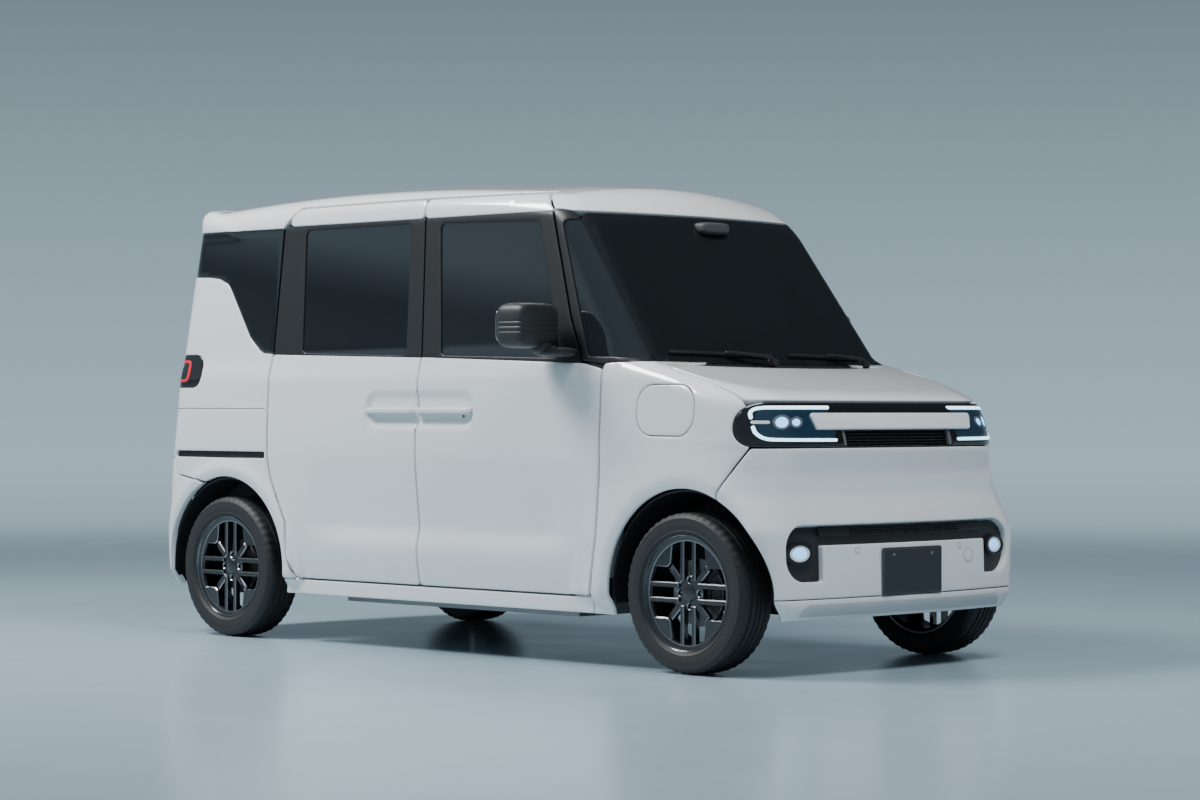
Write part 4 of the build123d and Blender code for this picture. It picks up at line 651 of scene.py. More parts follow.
# Rear quarter, with the slot of the sliding door's rail
quarter = np.concatenate([
    side_run(((-1006, 1134), (-1062, 1137), (-1090, 1146), (-1158, 1204), (-1306, 1398), (-1336, 1424),
              (-1390, 1443), (-1450, 1450), (-1590, 1453))),
    run(TAIL, ((-570, 1450), (-593, 1140), (-606, 1000), (-604, 722))),
    side_run(((-1588, 722), (-1579, 718), (-1563, 648), (-1432, 632))),
    side_run(arc(REAR_X, AXLE_Z, ARCH_R, 113, -5)[1:]),
    side_run(((-822, 250), (-864, 330), (-878, 470), (-976, 640), (-996, 720), (-1008, 1050))),
])
lamp_hole = np.concatenate([
    side_run(((-1486, 1135), (-1462, 1129), (-1446, 1114), (-1438, 1092), (-1438, 1044), (-1446, 1021),
              (-1462, 1006), (-1486, 1000), (-1600, 1000))),
    run(TAIL, ((-660, 1000), (-612, 1000), (-605, 1135), (-660, 1135))),
    side_run(((-1600, 1135), (-1495, 1135))),
])
rail_slot = side_run(rounded(((-1580, 719), (-1580, 745), (-1010, 745), (-1010, 719)), 8.0), closed=True)
panel("rear_quarter_HAND", REAR, flat_of(REAR, quarter), [flat_of(REAR, rail_slot), flat_of(REAR, lamp_hole)],
      replaces=("body_side_HAND",), slot="body_paint", thick=26.0, roll=3.5)
rail = side_run(rounded(((-1590, 712), (-1590, 752), (-1000, 752), (-1000, 712)), 8.0), closed=True)
panel("slide_rail_HAND", REAR, flat_of(REAR, rail), mats=faced(SEAM), slot="black_plastic",
      depth=12.0, thick=14.0, roll=0.0, grid=20.0)
panel("tail_lamp_HAND", REAR, grow(flat_of(REAR, lamp_hole), -1.0), mats=(PIANO, SEAM, SEAM),
      replaces=("tail_lamps",), slot="tail_lens", depth=1.0, thick=24.0, roll=4.0)
behind = np.concatenate([
    side_run(((-1006, 1632), (-1006, 1137), (-1066, 1141), (-1160, 1199), (-1325, 1417), (-1400, 1449),
              (-1590, 1457))),
    run(TAIL, ((-571, 1456), (-556, 1632))),
    side_run(((-1588, 1632), (-1016, 1632))),
])
panel("quarter_glass_HAND", REAR, flat_of(REAR, behind), mats=(PRIVACY, SEAM, SEAM),
      replaces=("quarter_glass",), slot="tinted_glass", depth=3.0, thick=6.0, roll=2.0, grid=18.0)

# Wings and charge lid
seam_t = np.linspace(0, 1, 60)
seam_pts = np.stack([1432 - 32 * seam_t, 632 - 112 * seam_t], axis=1)
seam_end = seam_pts[np.hypot(seam_pts[:, 0] - FRONT_X, seam_pts[:, 1] - AXLE_Z) > ARCH_R][-1]
seam_angle = math.degrees(math.atan2(seam_end[1] - AXLE_Z, seam_end[0] - FRONT_X))
band_end = arc(1541, 865.5, 80.5, 254, 106, 26)
wing = np.concatenate([
    side_run(((862, 1078), (856, 1064), (864, 720), (852, 470), (824, 252), (818, 190), (920, 190))),
    side_run(arc(FRONT_X, AXLE_Z, ARCH_R, 194, seam_angle + 0.4)),
    side_run(((1430, 634), (1517, 784))),
    side_run(band_end),
    run(TOP, ((1506, -643), (1420, -643), (1230, -643), (1190, -645), (1140, -652))),
    side_run(((1075, 1086), (1000, 1087), (870, 1082))),
])
lid = rect(1039, 1310, 826, 1002, 74.0)
lid_hole = side_run(grow(lid, 3.5), closed=True)
wing_flat = flat_of(WING, wing)
wing_left = sheet_mesh(WING, wing_flat, thick=12.0, grid=13.0)
panel("front_fender_right_skin", WING, wing_flat, [flat_of(WING, lid_hole)], replaces=("front_fender_right",),
      slot="body_paint", thick=12.0, grid=13.0, mats=faced(PAINT))
left_wing = add_object("front_fender_left_skin", *flip(wing_left[0], wing_left[1]), faced(PAINT), wing_left[2],
                       "body", "body_paint")
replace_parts(left_wing, "front_fender_left")
panel("charge_lid_skin", WING, flat_of(WING, side_run(lid, closed=True)), ride="charge_lid_body",
      replaces=("charge_lid",),
      slot="body_paint", thick=6.0, roll=3.0, grid=11.0, mats=(PAINT, TRIM, PAINT))
port = side_run(grow(lid, 16.0), closed=True)
panel("charge_port_tray", WING, flat_of(WING, port), mats=(PLASTIC, SEAM, SEAM), slot="black_plastic",
      depth=60.0, thick=6.0, roll=0.0, grid=22.0)

# Bonnet and cowl
front_edge = spots(NOSE, [(y, 950.0) for y in np.linspace(-634, 634, 90)])
ys = np.linspace(637, -637, 90)
rear_edge = spots(TOP, np.stack([1156.0 - ys ** 2 / 6000.0, ys], axis=1))
left_edge = run(TOP, ((front_edge[-1][0] - 6, 637), (rear_edge[0][0] + 8, 637)))
right_edge = run(TOP, ((rear_edge[0][0] + 8, -637), (front_edge[0][0] - 6, -637)))
panel("bonnet_skin", TOP, flat_of(TOP, front_edge, left_edge, rear_edge, right_edge), ride="bonnet_body",
      replaces=("bonnet",), slot="body_paint", thick=30.0, mats=faced(PAINT), grid=12.0)
ys = np.linspace(640, -640, 60)
cowl = np.concatenate([np.stack([1150.0 - ys ** 2 / 6000.0, ys], axis=1),
                       np.stack([1030.0 - ys[::-1] ** 2 / 6000.0, ys[::-1]], axis=1)])
panel("cowl_cover", TOP, cowl, mats=(PLASTIC, SEAM, SEAM), replaces=("cowl_panel",), slot="black_plastic",
      depth=9.0, thick=8.0, roll=2.0, grid=20.0)

# Windscreen and front pillars
screen = rounded(((-611, 1084), (611, 1084), (588, 1634), (-588, 1634)), (18.0, 18.0, 46.0, 46.0))
panel("windscreen_glass", NOSE, screen, mats=(SCREEN, SCREEN, SEAM), replaces=("windscreen",),
      slot="tinted_glass", depth=3.0, thick=5.0, roll=1.0, grid=16.0)
clear = rounded(((-578, 1118), (578, 1118), (556, 1600), (-556, 1600)), 50.0)
panel("windscreen_border", NOSE, rounded(grow(screen, -1.0), 0.0), [clear], mats=(BLACK, TRIM, BLACK),
      slot="black_plastic", depth=8.6, thick=3.0, roll=0.0, grid=26.0)
pillar = np.concatenate([
    side_run(((746, 1091), (668, 1252), (529, 1646))),
    run(NOSE, ((-588, 1640), (-612, 1084))),
    side_run(((1030, 1088), (870, 1084))),
])
pillar_glass = side_run(rounded(QUARTER_FRONT, 20.0), closed=True)
panel("front_pillar_HAND", PILLAR, flat_of(PILLAR, pillar), [flat_of(PILLAR, pillar_glass)],
      mats=(BLACK, TRIM, BLACK), slot="black_plastic", depth=2.0, thick=32.0, roll=3.0, grid=16.0)
pillar_glass = side_run(rounded(grow(QUARTER_FRONT, 5.0), 22.0), closed=True)
panel("front_quarter_glass_HAND", PILLAR, flat_of(PILLAR, pillar_glass), mats=(GLASS, GLASS, SEAM),
      slot="tinted_glass", depth=7.0, thick=5.0, roll=0.0, grid=26.0)

# Roof
roof_side = side_run(((534, 1648), (524, 1655), (448, 1718.5), (440, 1719.5), (-172, 1719.5), (-917, 1715.5),
                      (-1004, 1639), (-1007, 1635), (-1545, 1635)))
roof_back = run(TAIL, ((-585, 1636), (-557, 1638), (-552, 1697)))
roof_notch = run(TOP, ((-1548, -548), (-1524, -546), (-1524, 0)))
brow = spots(NOSE, [(y, 1641.0) for y in np.linspace(0, -590, 60)])
roof_line = whole(np.concatenate([brow, roof_side, roof_back, roof_notch]))
panel("roof_skin", ROOF, flat_of(ROOF, roof_line), mats=(PAINT, LINING, PAINT), replaces=("roof_panel",),
      slot="body_paint", thick=30.0, grid=15.0, roll=3.0)

# Tailgate and rear bumper
gate = rounded(((-590, 528), (590, 528), (600, 1000), (586, 1140), (552, 1640), (546, 1700), (-546, 1700),
                (-552, 1640), (-586, 1140), (-600, 1000)), (45, 45, 60, 200, 200, 4, 4, 200, 200, 60))
REAR_GLASS = ((-512, 1150), (512, 1150), (474, 1652), (-474, 1652))
panel("tailgate_skin", TAIL, gate, [rounded(grow(REAR_GLASS, 22.0), 60.0)], ride="tailgate_body",
      replaces=("tailgate",), slot="body_paint", thick=44.0, grid=14.0)
panel("rear_window_frame", TAIL, rounded(grow(REAR_GLASS, 24.0), 60.0), [rounded(REAR_GLASS, 45.0)],
      mats=(BLACK, TRIM, BLACK), ride="tailgate_body", slot="black_plastic", depth=5.0, thick=34.0, grid=22.0,
      roll=2.0)
panel("rear_window_glass", TAIL, rounded(grow(REAR_GLASS, 6.0), 48.0), mats=(PRIVACY, PRIVACY, SEAM),
      ride="tailgate_body", replaces=("rear_window",), slot="tinted_glass", depth=9.0, thick=5.0, roll=0.0,
      grid=30.0)
cap_low = spots(TAIL, [(y, 1701.0) for y in np.linspace(-545, 545, 90)])
cap_high = spots(TOP, [(-1530.0, y) for y in np.linspace(541, -541, 90)])
panel("tailgate_spoiler", CAP, flat_of(CAP, cap_low, cap_high), ride="tailgate_body", slot="body_paint",
      thick=24.0, grid=13.0, roll=2.0)
bumper_half = np.concatenate([
    run(TAIL, ((0, 521), (-560, 521), (-585, 526), (-596, 545), (-603, 714))),
    side_run(((-1594, 714), (-1577, 711), (-1561, 643), (-1436, 627))),
    side_run(arc(REAR_X, AXLE_Z, ARCH_R, 113.8, 195)),
    side_run(((-1602, 196),)),
    run(TAIL, ((-650, 196), (0, 196))),
])
panel("rear_bumper_skin", REAR, flat_of(REAR, whole(bumper_half)), replaces=("rear_bumper",), slot="body_paint",
      thick=26.0, grid=13.0, mats=faced(PAINT))

# Nose: bumper, lamp band
nose_half = np.concatenate([
    run(NOSE, ((0, 784), (-440, 784))),
    side_run(((1527, 783), (1521, 780), (1434, 630), (seam_end[0] + 3, seam_end[1] - 2))),
    side_run(arc(FRONT_X, AXLE_Z, ARCH_R, seam_angle - 0.6, -14)[1:]),
    side_run(((1640, 196),)),
    run(NOSE, ((-560, 196), (0, 196))),
])
mouth = ((-612, 328), (-448, 328), (-448, 452), (448, 452), (448, 328), (612, 328), (612, 522), (-612, 522))
mouth_line = rounded(mouth, (92.0, 8.0, 8.0, 8.0, 8.0, 92.0, 84.0, 84.0))
mouth_flat = flat_of(FRONT, spots(NOSE, mouth_line))
nose_flat = flat_of(FRONT, whole(nose_half))
upper_nose = resample(above_z(nose_flat, LIP_SEAM_Z + SEAM_HALF), EDGE_STEP)
lower_nose = resample(below_z(nose_flat, LIP_SEAM_Z - SEAM_HALF), EDGE_STEP)
panel("front_bumper_skin", FRONT, upper_nose, [mouth_flat], replaces=("front_bumper",), slot="body_paint",
      thick=24.0, grid=13.0, mats=faced(PAINT), roll=5.0)
panel("front_bumper_lip", FRONT, lower_nose, slot="body_paint", thick=24.0, grid=14.0, mats=faced(PAINT))
back_line = rect(-625, 625, 318, 534, 90.0)
panel("lower_grille_back", FRONT, flat_of(FRONT, spots(NOSE, back_line)), mats=(PLASTIC, SEAM, SEAM),
      replaces=("lower_grille",), slot="black_plastic", depth=24.0, thick=10.0, roll=0.0, grid=20.0)
band_right = np.concatenate([run(NOSE, ((0, 787.5), (-430, 787.5))),
                             side_run(arc(1541, 865.5, 77.5, 262, 98, 30)),
                             run(NOSE, ((-430, 943.5), (0, 943.5)))])
grille_hole = flat_of(FRONT, spots(NOSE, rect(-300, 300, 793, 846, 6.0)))
panel("lamp_band", FRONT, flat_of(FRONT, whole(band_right)), [grille_hole], mats=(PIANO, SEAM, SEAM),
      replaces=("headlamps", "grille_panel"), slot="lamp_lens", depth=1.0, thick=30.0, roll=4.0, grid=12.0)


# Small parts: strips and discs on the skin, turned parts, plates and pods
def eased(points, rounds=3):
    """Open path with its corners cut round."""
    pts = np.array(points, float)
    for _ in range(rounds):
        a, b = pts[:-1], pts[1:]
        cut = np.stack([0.75 * a + 0.25 * b, 0.25 * a + 0.75 * b], axis=1).reshape(-1, pts.shape[1])
        pts = np.concatenate([pts[:1], cut, pts[-1:]])
    return pts


def ribbon(path, width):
    """Closed outline of a strip along a flat path, with round ends."""
    pts = resample(path, 9.0, False)
    way = np.gradient(pts, axis=0)
    way /= np.linalg.norm(way, axis=1, keepdims=True)
    side = np.stack([-way[:, 1], way[:, 0]], axis=1)
    half = width / 2
    turn = np.radians((30, 60, 90, 120, 150))[:, None]
    end = pts[-1] + half * (np.cos(turn) * side[-1] + np.sin(turn) * way[-1])
    start = pts[0] - half * (np.cos(turn) * side[0] + np.sin(turn) * way[0])
    return np.concatenate([pts + half * side, end, (pts - half * side)[::-1], start])


def circle(centre, r, n=28):
    return arc(centre[0], centre[1], r, 0, 360 * (1 - 1 / n), n)


def on_front(points):
    return flat_of(FRONT, spots(NOSE, points))


def nose_strip(name, points, width, mat, **kw):
    panel(name, FRONT, ribbon(on_front(points), width), mats=faced(mat), grid=20.0, **kw)


def closed_object(name, mesh, mats, ride, slot, sharp=35.0, place=None):
    """Object from vertices, faces and material kinds; place maps the vertices to the frame."""
    verts, faces, kinds = mesh
    obj = add_object(name, place(verts) if place else verts, faces, mats, kinds, ride, slot, sharp)
    work = bmesh.new()
    work.from_mesh(obj.data)
    bmesh.ops.recalc_face_normals(work, faces=work.faces)
    work.to_mesh(obj.data)
    work.free()
    obj.data.set_sharp_from_angle(angle=math.radians(sharp))
    return obj


def ring_faces(rows, steps, closed=False):
    """Quads between rows of points around an axis; closed also joins the last row to the first."""
    return [(i * steps + k, i * steps + (k + 1) % steps, j * steps + (k + 1) % steps, j * steps + k)
            for i in range(rows if closed else rows - 1) for j in ((i + 1) % rows,) for k in range(steps)]


def turned(profile, steps, bright=()):
    """Ring of (radius, offset) points about the offset axis; bright lists edges of the second material."""
    rows = np.array(profile, float)
    t = np.arange(steps) * 2 * math.pi / steps
    verts = np.stack([np.outer(rows[:, 0], np.cos(t)), np.outer(rows[:, 0], np.sin(t)),
                      np.repeat(rows[:, 1:], steps, axis=1)], axis=2).reshape(-1, 3)
    kinds = [1 if i in bright else 0 for i in range(len(rows)) for _ in range(steps)]
    return verts, ring_faces(len(rows), steps, True), kinds


def plate(outline, low, high, bevel, holes=()):
    """Flat plate with a bevelled front; kinds are 0 for flats and 1 for the bevel."""
    loops = [np.array(outline, float), *[np.array(h, float) for h in holes]]
    inner = [grow(loop, bevel if k else -bevel) for k, loop in enumerate(loops)]
    flat, top = np.concatenate(loops), np.concatenate(inner)
    edges = loop_edges(loops)
    tris = np.array(delaunay_2d_cdt([Vector(p) for p in flat], edges, [], 0, 1e-5)[2])
    tris = tris[inside_of(flat[tris].mean(axis=1), loops)]
    n = len(flat)
    verts = np.concatenate([columns(top[:, 0], top[:, 1], high), columns(flat[:, 0], flat[:, 1], high - bevel),
                            columns(flat[:, 0], flat[:, 1], low)])
    faces = [tuple(t) for t in tris.tolist()] + [tuple(t) for t in (tris[:, ::-1] + 2 * n).tolist()]
    kinds = [0] * len(faces)
    for i, j in edges:
        faces += [(i, i + n, j + n, j), (i + n, i + 2 * n, j + 2 * n, j + n)]
        kinds += [1, 0]
    return verts, faces, kinds


def joined(pieces):
    verts, faces, kinds, base = [], [], [], 0
    for v, f, k in pieces:
        verts.append(v)
        faces += [tuple(int(i) + base for i in face) for face in f]
        kinds += list(k)
        base += len(v)
    return np.concatenate(verts), faces, kinds


def spun(points, degrees):
    t = math.radians(degrees)
    return np.array(points, float) @ np.array(((math.cos(t), math.sin(t)), (-math.sin(t), math.cos(t))))


def outward(verts, x, y, z, side):
    """Local (across, up, out) to the frame; side is -1 on the car's right."""
    return columns(x + verts[:, 0], side * (y + verts[:, 2]), z + verts[:, 1])


def pod(centre, half, box_z=0.5, box_xy=0.5, rows=24, steps=40):
    """Crowned rounded block; small box values give squarer corners."""
    t = np.linspace(-1, 1, rows)
    up = np.sin(t * math.pi / 2)
    scale = np.maximum(1 - np.abs(up) ** (2 / box_z), 0) ** (box_z / 2)
    a = np.arange(steps) * 2 * math.pi / steps
    c, s = np.cos(a), np.sin(a)
    px, py = np.sign(c) * np.abs(c) ** box_xy, np.sign(s) * np.abs(s) ** box_xy
    local = np.stack([np.outer(scale, px), np.outer(scale, py), np.repeat(up[:, None], steps, axis=1)], axis=2)
    verts = local.reshape(-1, 3) * np.array(half) + np.array(centre)
    faces = ring_faces(rows, steps)
    return verts, faces, [0] * len(faces)


def tube(points, radius, sides=10):
    pts = np.array(points, float)
    way = np.gradient(pts, axis=0)
    way /= np.linalg.norm(way, axis=1, keepdims=True)
    ref = np.array((0.0, 0.0, 1.0)) if abs(way[0][2]) < 0.9 else np.array((1.0, 0.0, 0.0))
    u = np.cross(way, ref)
    u /= np.linalg.norm(u, axis=1, keepdims=True)
    v = np.cross(way, u)
    a = np.arange(sides) * 2 * math.pi / sides
    c, s = np.cos(a)[None, :, None], np.sin(a)[None, :, None]
    verts = pts[:, None] + radius * (c * u[:, None] + s * v[:, None])
    n = len(pts)
    faces = ring_faces(n, sides) + [tuple(range(sides)), tuple((n - 1) * sides + k for k in range(sides))]
    return verts.reshape(-1, 3), faces, [0] * len(faces)


# Head lamps, silver bar and upper grille
LAMP_TOP = eased(((-335, 924), (-560, 924), (-622, 923), (-641, 908), (-642, 889)))
LAMP_LOW = eased(((-643, 856), (-642, 834), (-622, 815), (-575, 813), (-340, 812)))
LAMP_STRIP = {"slot": "lamp_lens", "depth": -2.0, "thick": 5.0, "roll": 2.0}
panel("lamp_inner_HAND", FRONT, on_front(rect(-330, -632, 917, 820, 30.0)), mats=faced(LAMP_BLUE),
      slot="lamp_lens", depth=0.2, thick=3.0, roll=1.0)
nose_strip("light_bar_top_HAND", LAMP_TOP, 11.0, GLOW, **LAMP_STRIP)
nose_strip("light_bar_low_HAND", LAMP_LOW, 11.0, GLOW, **LAMP_STRIP)
nose_strip("lamp_fin_HAND", ((-641, 873), (-601, 873)), 11.0, SILVER, **LAMP_STRIP)
for part, y, r in (("main", -559.0, 19.0), ("inner", -506.0, 13.0)):
    spot = on_front([(y, 873.0)])[0]
    panel("projector_ring_" + part + "_HAND", FRONT, circle(spot, r + 7), [circle(spot, r)], mats=faced(GREY),
          slot="lamp_lens", depth=-3.0, thick=6.0, roll=2.0, grid=20.0)
    panel("projector_" + part + "_HAND", FRONT, circle(spot, r), mats=faced(BEAM), slot="lamp_lens",
          depth=-1.5, thick=4.0, roll=3.0, grid=8.0)
bar = rounded(((-443, 903), (443, 903), (424, 847), (-424, 847)), 11.0)
panel("nose_bar", FRONT, on_front(bar), mats=faced(SILVER), slot="black_plastic", depth=-9.0, thick=11.0,
      roll=4.0)
panel("upper_grille_back", FRONT, on_front(rect(-306, 306, 790, 850, 4.0)), mats=faced(SEAM),
      slot="black_plastic", depth=34.0, thick=4.0, roll=0.0, grid=24.0)


def grille(name, heights, half, slat_width, slat_depth, ribs, rib_half, ends, rib_depth, rib_thick):
    """Slats across the nose with ribs behind them."""
    for k, z in enumerate(heights):
        nose_strip("%s_slat_%d" % (name, k), [(y, z) for y in np.linspace(-half, half, 24)], slat_width,
                   PLASTIC, slot="black_plastic", depth=slat_depth, thick=8.0, roll=1.0)
    for k, y in enumerate(np.linspace(-rib_half, rib_half, ribs)):
        nose_strip("%s_rib_%d" % (name, k), [(y, z) for z in ends], 4.0, PLASTIC, slot="black_plastic",
                   depth=rib_depth, thick=rib_thick, roll=1.0)


grille("upper", (801, 813, 825, 837), 292, 4.0, 14.0, 13, 252, (792, 848), 19.0, 8.0)
nose_strip("grille_end_HAND", ((-293, 795), (-293, 843)), 15.0, GREY, slot="black_plastic", depth=4.0,
           thick=12.0, roll=2.0)

# Lower grille, fog lamps, plate, sensors and lip
grille("lower", (487, 496, 505, 514), 300, 3.6, 11.0, 9, 260, (484, 517), 15.0, 6.0)
panel("lower_grille_cheek_HAND", FRONT, on_front(rect(-452, -304, 484, 519, 4.0)), mats=faced(BLACK),
      slot="black_plastic", depth=12.0, thick=10.0, roll=2.0)
fog = on_front([(-541.0, 425.0)])[0]
panel("fog_lamp_bezel_HAND", FRONT, circle(fog, 40), [circle(fog, 29)], mats=faced(BLACK),
      slot="lamp_lens", depth=9.0, thick=14.0, roll=4.0, grid=20.0)
panel("fog_lamp_ring_HAND", FRONT, circle(fog, 29), [circle(fog, 21)], mats=faced(SILVER),
      slot="lamp_lens", depth=12.0, thick=10.0, roll=2.0, grid=20.0)
panel("fog_lamp_lens_HAND", FRONT, circle(fog, 21), mats=faced(FOG), replaces=("fog_lamps",),
      slot="lamp_lens", depth=10.0, thick=10.0, roll=7.0, grid=7.0)
for name, y, z, r in (("sensor_right", -285, 430, 9), ("sensor_left", 285, 430, 9),
                      ("tow_cover", 339, 394, 24)):
    spot = on_front([(y, z)])[0]
    panel(name + "_seam", FRONT, circle(spot, r + SEAM_HALF), mats=faced(SEAM), slot="body_paint", depth=-0.2,
          thick=1.0, roll=0.0, grid=12.0)
    panel(name, FRONT, circle(spot, r), slot="body_paint", depth=-1.0, thick=2.0, roll=1.0, grid=12.0)
skid = rounded(((-560, 208), (560, 208), (540, 240), (514, 252), (-514, 252), (-540, 240)), 8.0)
panel("bumper_skid", FRONT, on_front(skid), mats=faced(SATIN), slot="body_paint", depth=-3.0, thick=5.0,
      roll=3.0)
plate_low, plate_high = [np.array(v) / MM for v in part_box("number_plate")]
plate_z = (plate_low[2] + plate_high[2]) / 2
plate_w, plate_h = plate_high[1], (plate_high[2] - plate_low[2]) / 2
PLATE_X, REAR_PLATE_X, REAR_PLATE_Z = 1694.0, -1691.0, 690.0


def blank_plate(name, x, z, way, ride):
    """Plate without lettering, with its two bolts."""
    edge = rect(-plate_w, plate_w, -plate_h, plate_h, 9.0)
    shapes = (plate(edge, 0.0, 5.0, 1.5), plate(rounded(grow(edge, -7.0), 0.0), 4.0, 5.8, 0.6))
    bolts = [plate(circle((s * 105.0, 58.0), 7.0), 5.0, 8.0, 1.5) for s in (-1, 1)]
    for label, parts, mats in ((name, shapes, (PLATE, GREY)), (name + "_bolts", bolts, (STEEL, EDGE))):
        made = closed_object(label, joined(parts), mats, ride, "plate_blank",
                             place=lambda v: columns(x + way * v[:, 2], way * v[:, 0], z + v[:, 1]))
        if label == "front_plate":
            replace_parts(made, "number_plate")


blank_plate("front_plate", PLATE_X, plate_z, 1, "body")

# Door handles
for name, x0, x1, where in (("front_handle_HAND", -116.0, 182.0, "door_HAND_body"),
                            ("sliding_handle_HAND", -411.0, -138.0, "body")):
    panel(name, SIDE, rect(x0, x1, 899, 921, 9.0, 6.0), ride=where, slot="body_paint", depth=-7.0, thick=13.0,
          roll=6.0, grid=7.0, sunk=lambda p: -recess(p[:, 0], p[:, 2]))
panel("key_cap_HAND", SIDE, circle((132.0, 889.0), 6.5), mats=faced(GREY), ride="door_HAND_body",
      slot="black_plastic", depth=-2.0, thick=4.0, roll=1.5, grid=9.0)

# Mirrors
MIRROR = np.array((590.0, 815.0, 1216.0))
MIRROR_GLASS_X = 511
for hand, side in HANDS:
    head = pod(MIRROR, (80, 99, 81), 0.42, 0.42, 90, 64)
    for z in (1194.0, 1212.0, 1230.0):
        ridge = 1 - 0.03 * np.exp(-((head[0][:, 2] - z) / 2.6) ** 2)
        head[0][:, :2] = MIRROR[:2] + (head[0][:, :2] - MIRROR[:2]) * ridge[:, None]
    foot = pod((662, 742, 1121), (76, 62, 17), 0.6, 0.7, 24, 48)
    neck = pod((628, 784, 1138), (40, 32, 24), 0.7, 0.8, 20, 36)
    shell = closed_object("mirror_%s_shell" % hand, joined((head, foot, neck)), (PLASTIC,),
                          "door_%s_body" % hand, "black_plastic", place=lambda v: v * (1, side, 1))
    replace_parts(shell, "mirror_" + hand)
    lens = plate(rect(-80, 80, -62, 62, 28.0), 0.0, 3.0, 1.0)
    closed_object("mirror_%s_glass" % hand, lens, (CHROME, PLASTIC), "door_%s_body" % hand, "tinted_glass",
                  place=lambda v: columns(MIRROR_GLASS_X - v[:, 2], side * (MIRROR[1] + v[:, 0]),
                                          MIRROR[2] + v[:, 1]))

# Wipers, inner mirror and sensor pod
for name, points, pivot in (("wiper_right", ((-540, 1118), (-60, 1108)), (-90, 1092)),
                            ("wiper_left", ((40, 1112), (480, 1106)), (470, 1092))):
    line = spots(NOSE, resample(points, 20.0, False))
    blade = line + normals(line) * 9.0
    start = spots(NOSE, [pivot])[0]
    middle = blade[len(blade) // 2]
    arm = eased(np.stack([start + (30, 0, -10), start + (34, 0, 14), middle + (9, 0, 5), middle]))
    wiper = joined((tube(blade, 5.0), tube(arm, 7.0), pod(start + (28, 0, -6), (17, 17, 15))))
    closed_object(name, wiper, (PLASTIC,), "body", "black_plastic")
visors = joined((pod((668, 0, 1528), (15, 112, 33), 0.5, 0.45), pod((712, 0, 1568), (16, 18, 40)),
                  pod((732, 0, 1592), (42, 74, 22), 0.5, 0.5), pod((616, -300, 1612), (62, 150, 9), 0.6, 0.4),
                  pod((616, 300, 1612), (62, 150, 9), 0.6, 0.4)))
closed_object("inner_mirror_and_visors", visors, (TRIM,), "body", "cabin_plastic")

# Tail: red lamp bows, seams, plate, handle, stop light, reflectors and wiper
bow = eased(((-1562, 1108), (-1532, 1108), (-1522, 1096), (-1522, 1042), (-1532, 1030), (-1562, 1030)))
bow = flat_of(REAR, spots(TAIL, ((-622, 1108), (-648, 1108))), spots(SIDE, bow),
              spots(TAIL, ((-648, 1030), (-622, 1030))))
panel("tail_light_bow_HAND", REAR, ribbon(bow, 12.0), mats=faced(RED), slot="tail_lens", depth=-1.5,
      thick=5.0, roll=2.0, grid=20.0)
line = flat_of(REAR, side_run(((-1584, 917), (-1014, 917))))
panel("quarter_seam_HAND", REAR, ribbon(line, 2.4), mats=faced(SEAM), slot="body_paint", depth=-0.3,
      thick=0.8, roll=0.0, grid=20.0)
blank_plate("rear_plate", REAR_PLATE_X, REAR_PLATE_Z, -1, "tailgate_body")
panel("tailgate_handle", TAIL, rect(-270, 270, 796, 838, 12.0), mats=faced(PLASTIC), ride="tailgate_body",
      slot="black_plastic", depth=-9.0, thick=12.0, roll=6.0)
panel("stop_light", TAIL, rect(-150, 150, 1683, 1696, 4.0), mats=faced(RED), ride="tailgate_body",
      slot="tail_lens", depth=-2.0, thick=4.0, roll=1.5)
# The reflectors use the red lens material and its faint emission: a painted glow on parts that are not lamps.
reflector = spots(TAIL, rect(-640, -500, 352, 386, 12.0))
panel("rear_reflector_HAND", REAR, flat_of(REAR, reflector), mats=faced(RED), slot="tail_lens", depth=-2.0,
      thick=4.0, roll=2.0)
wipe = spots(TAIL, resample(((-60, 1172), (330, 1186)), 20.0, False))
arm = eased(np.stack([wipe[0] + (-6, 60, -16), wipe[0] + (-14, 150, 0), wipe[10] - (4, 0, 0)]))
wiper = joined((tube(wipe + normals(wipe) * 3.0, 5.0), tube(arm, 6.0),
                pod(wipe[0] + (-2, 60, -18), (13, 22, 17))))
closed_object("rear_wiper", wiper, (PLASTIC,), "tailgate_body", "black_plastic")

# Wheels: tyre with grooves and sipes, spoked rim with machined bevels, brakes
TREAD = ((199, 66), (204, 73), (214, 78.5), (216, 80.2), (219, 79.2), (232, 81.8), (246, 82.5), (257, 80.9),
         (260, 81.6), (263, 79.8), (270, 76), (276, 70.5), (279.3, 64), (280.4, 56), (280.8, 42), (275, 41),
         (275, 34), (281, 33), (281, 15), (275, 14), (275, 7.5), (281, 6.5))
PITCHES, SIPE_DEPTH = 52, 3.2
QUARTERS = (0, 90, 180, 270)
LUG_CIRCLE = 46
tread_rows = np.array(TREAD + tuple((r, -a) for r, a in reversed(TREAD)), float)
pitch = 2 * math.pi / PITCHES
turns = np.concatenate([k * pitch + np.array((0, 0.40, 0.46, 0.94)) * pitch for k in range(PITCHES)])
sunk_row = (np.abs(tread_rows[:, 1]) > 41) & (tread_rows[:, 0] > 268)
sunk_turn = np.tile((True, False, False, True), PITCHES)
radius = tread_rows[:, :1] - SIPE_DEPTH * sunk_row[:, None] * sunk_turn[None, :]
n_turn = len(turns)
tyre_verts = np.stack([radius * np.cos(turns), radius * np.sin(turns),
                       np.repeat(tread_rows[:, 1:], n_turn, axis=1)], axis=2).reshape(-1, 3)
tyre_faces = ring_faces(len(tread_rows), n_turn, True)
BARREL = ((176, 50), (181, 60), (184, 61.5), (193, 62), (197, 64), (200, 72), (203, 74), (203, 66), (196, 58),
          (190, 50), (190, -58), (203, -70), (203, -75), (196, -75), (184, -60), (180, 34))
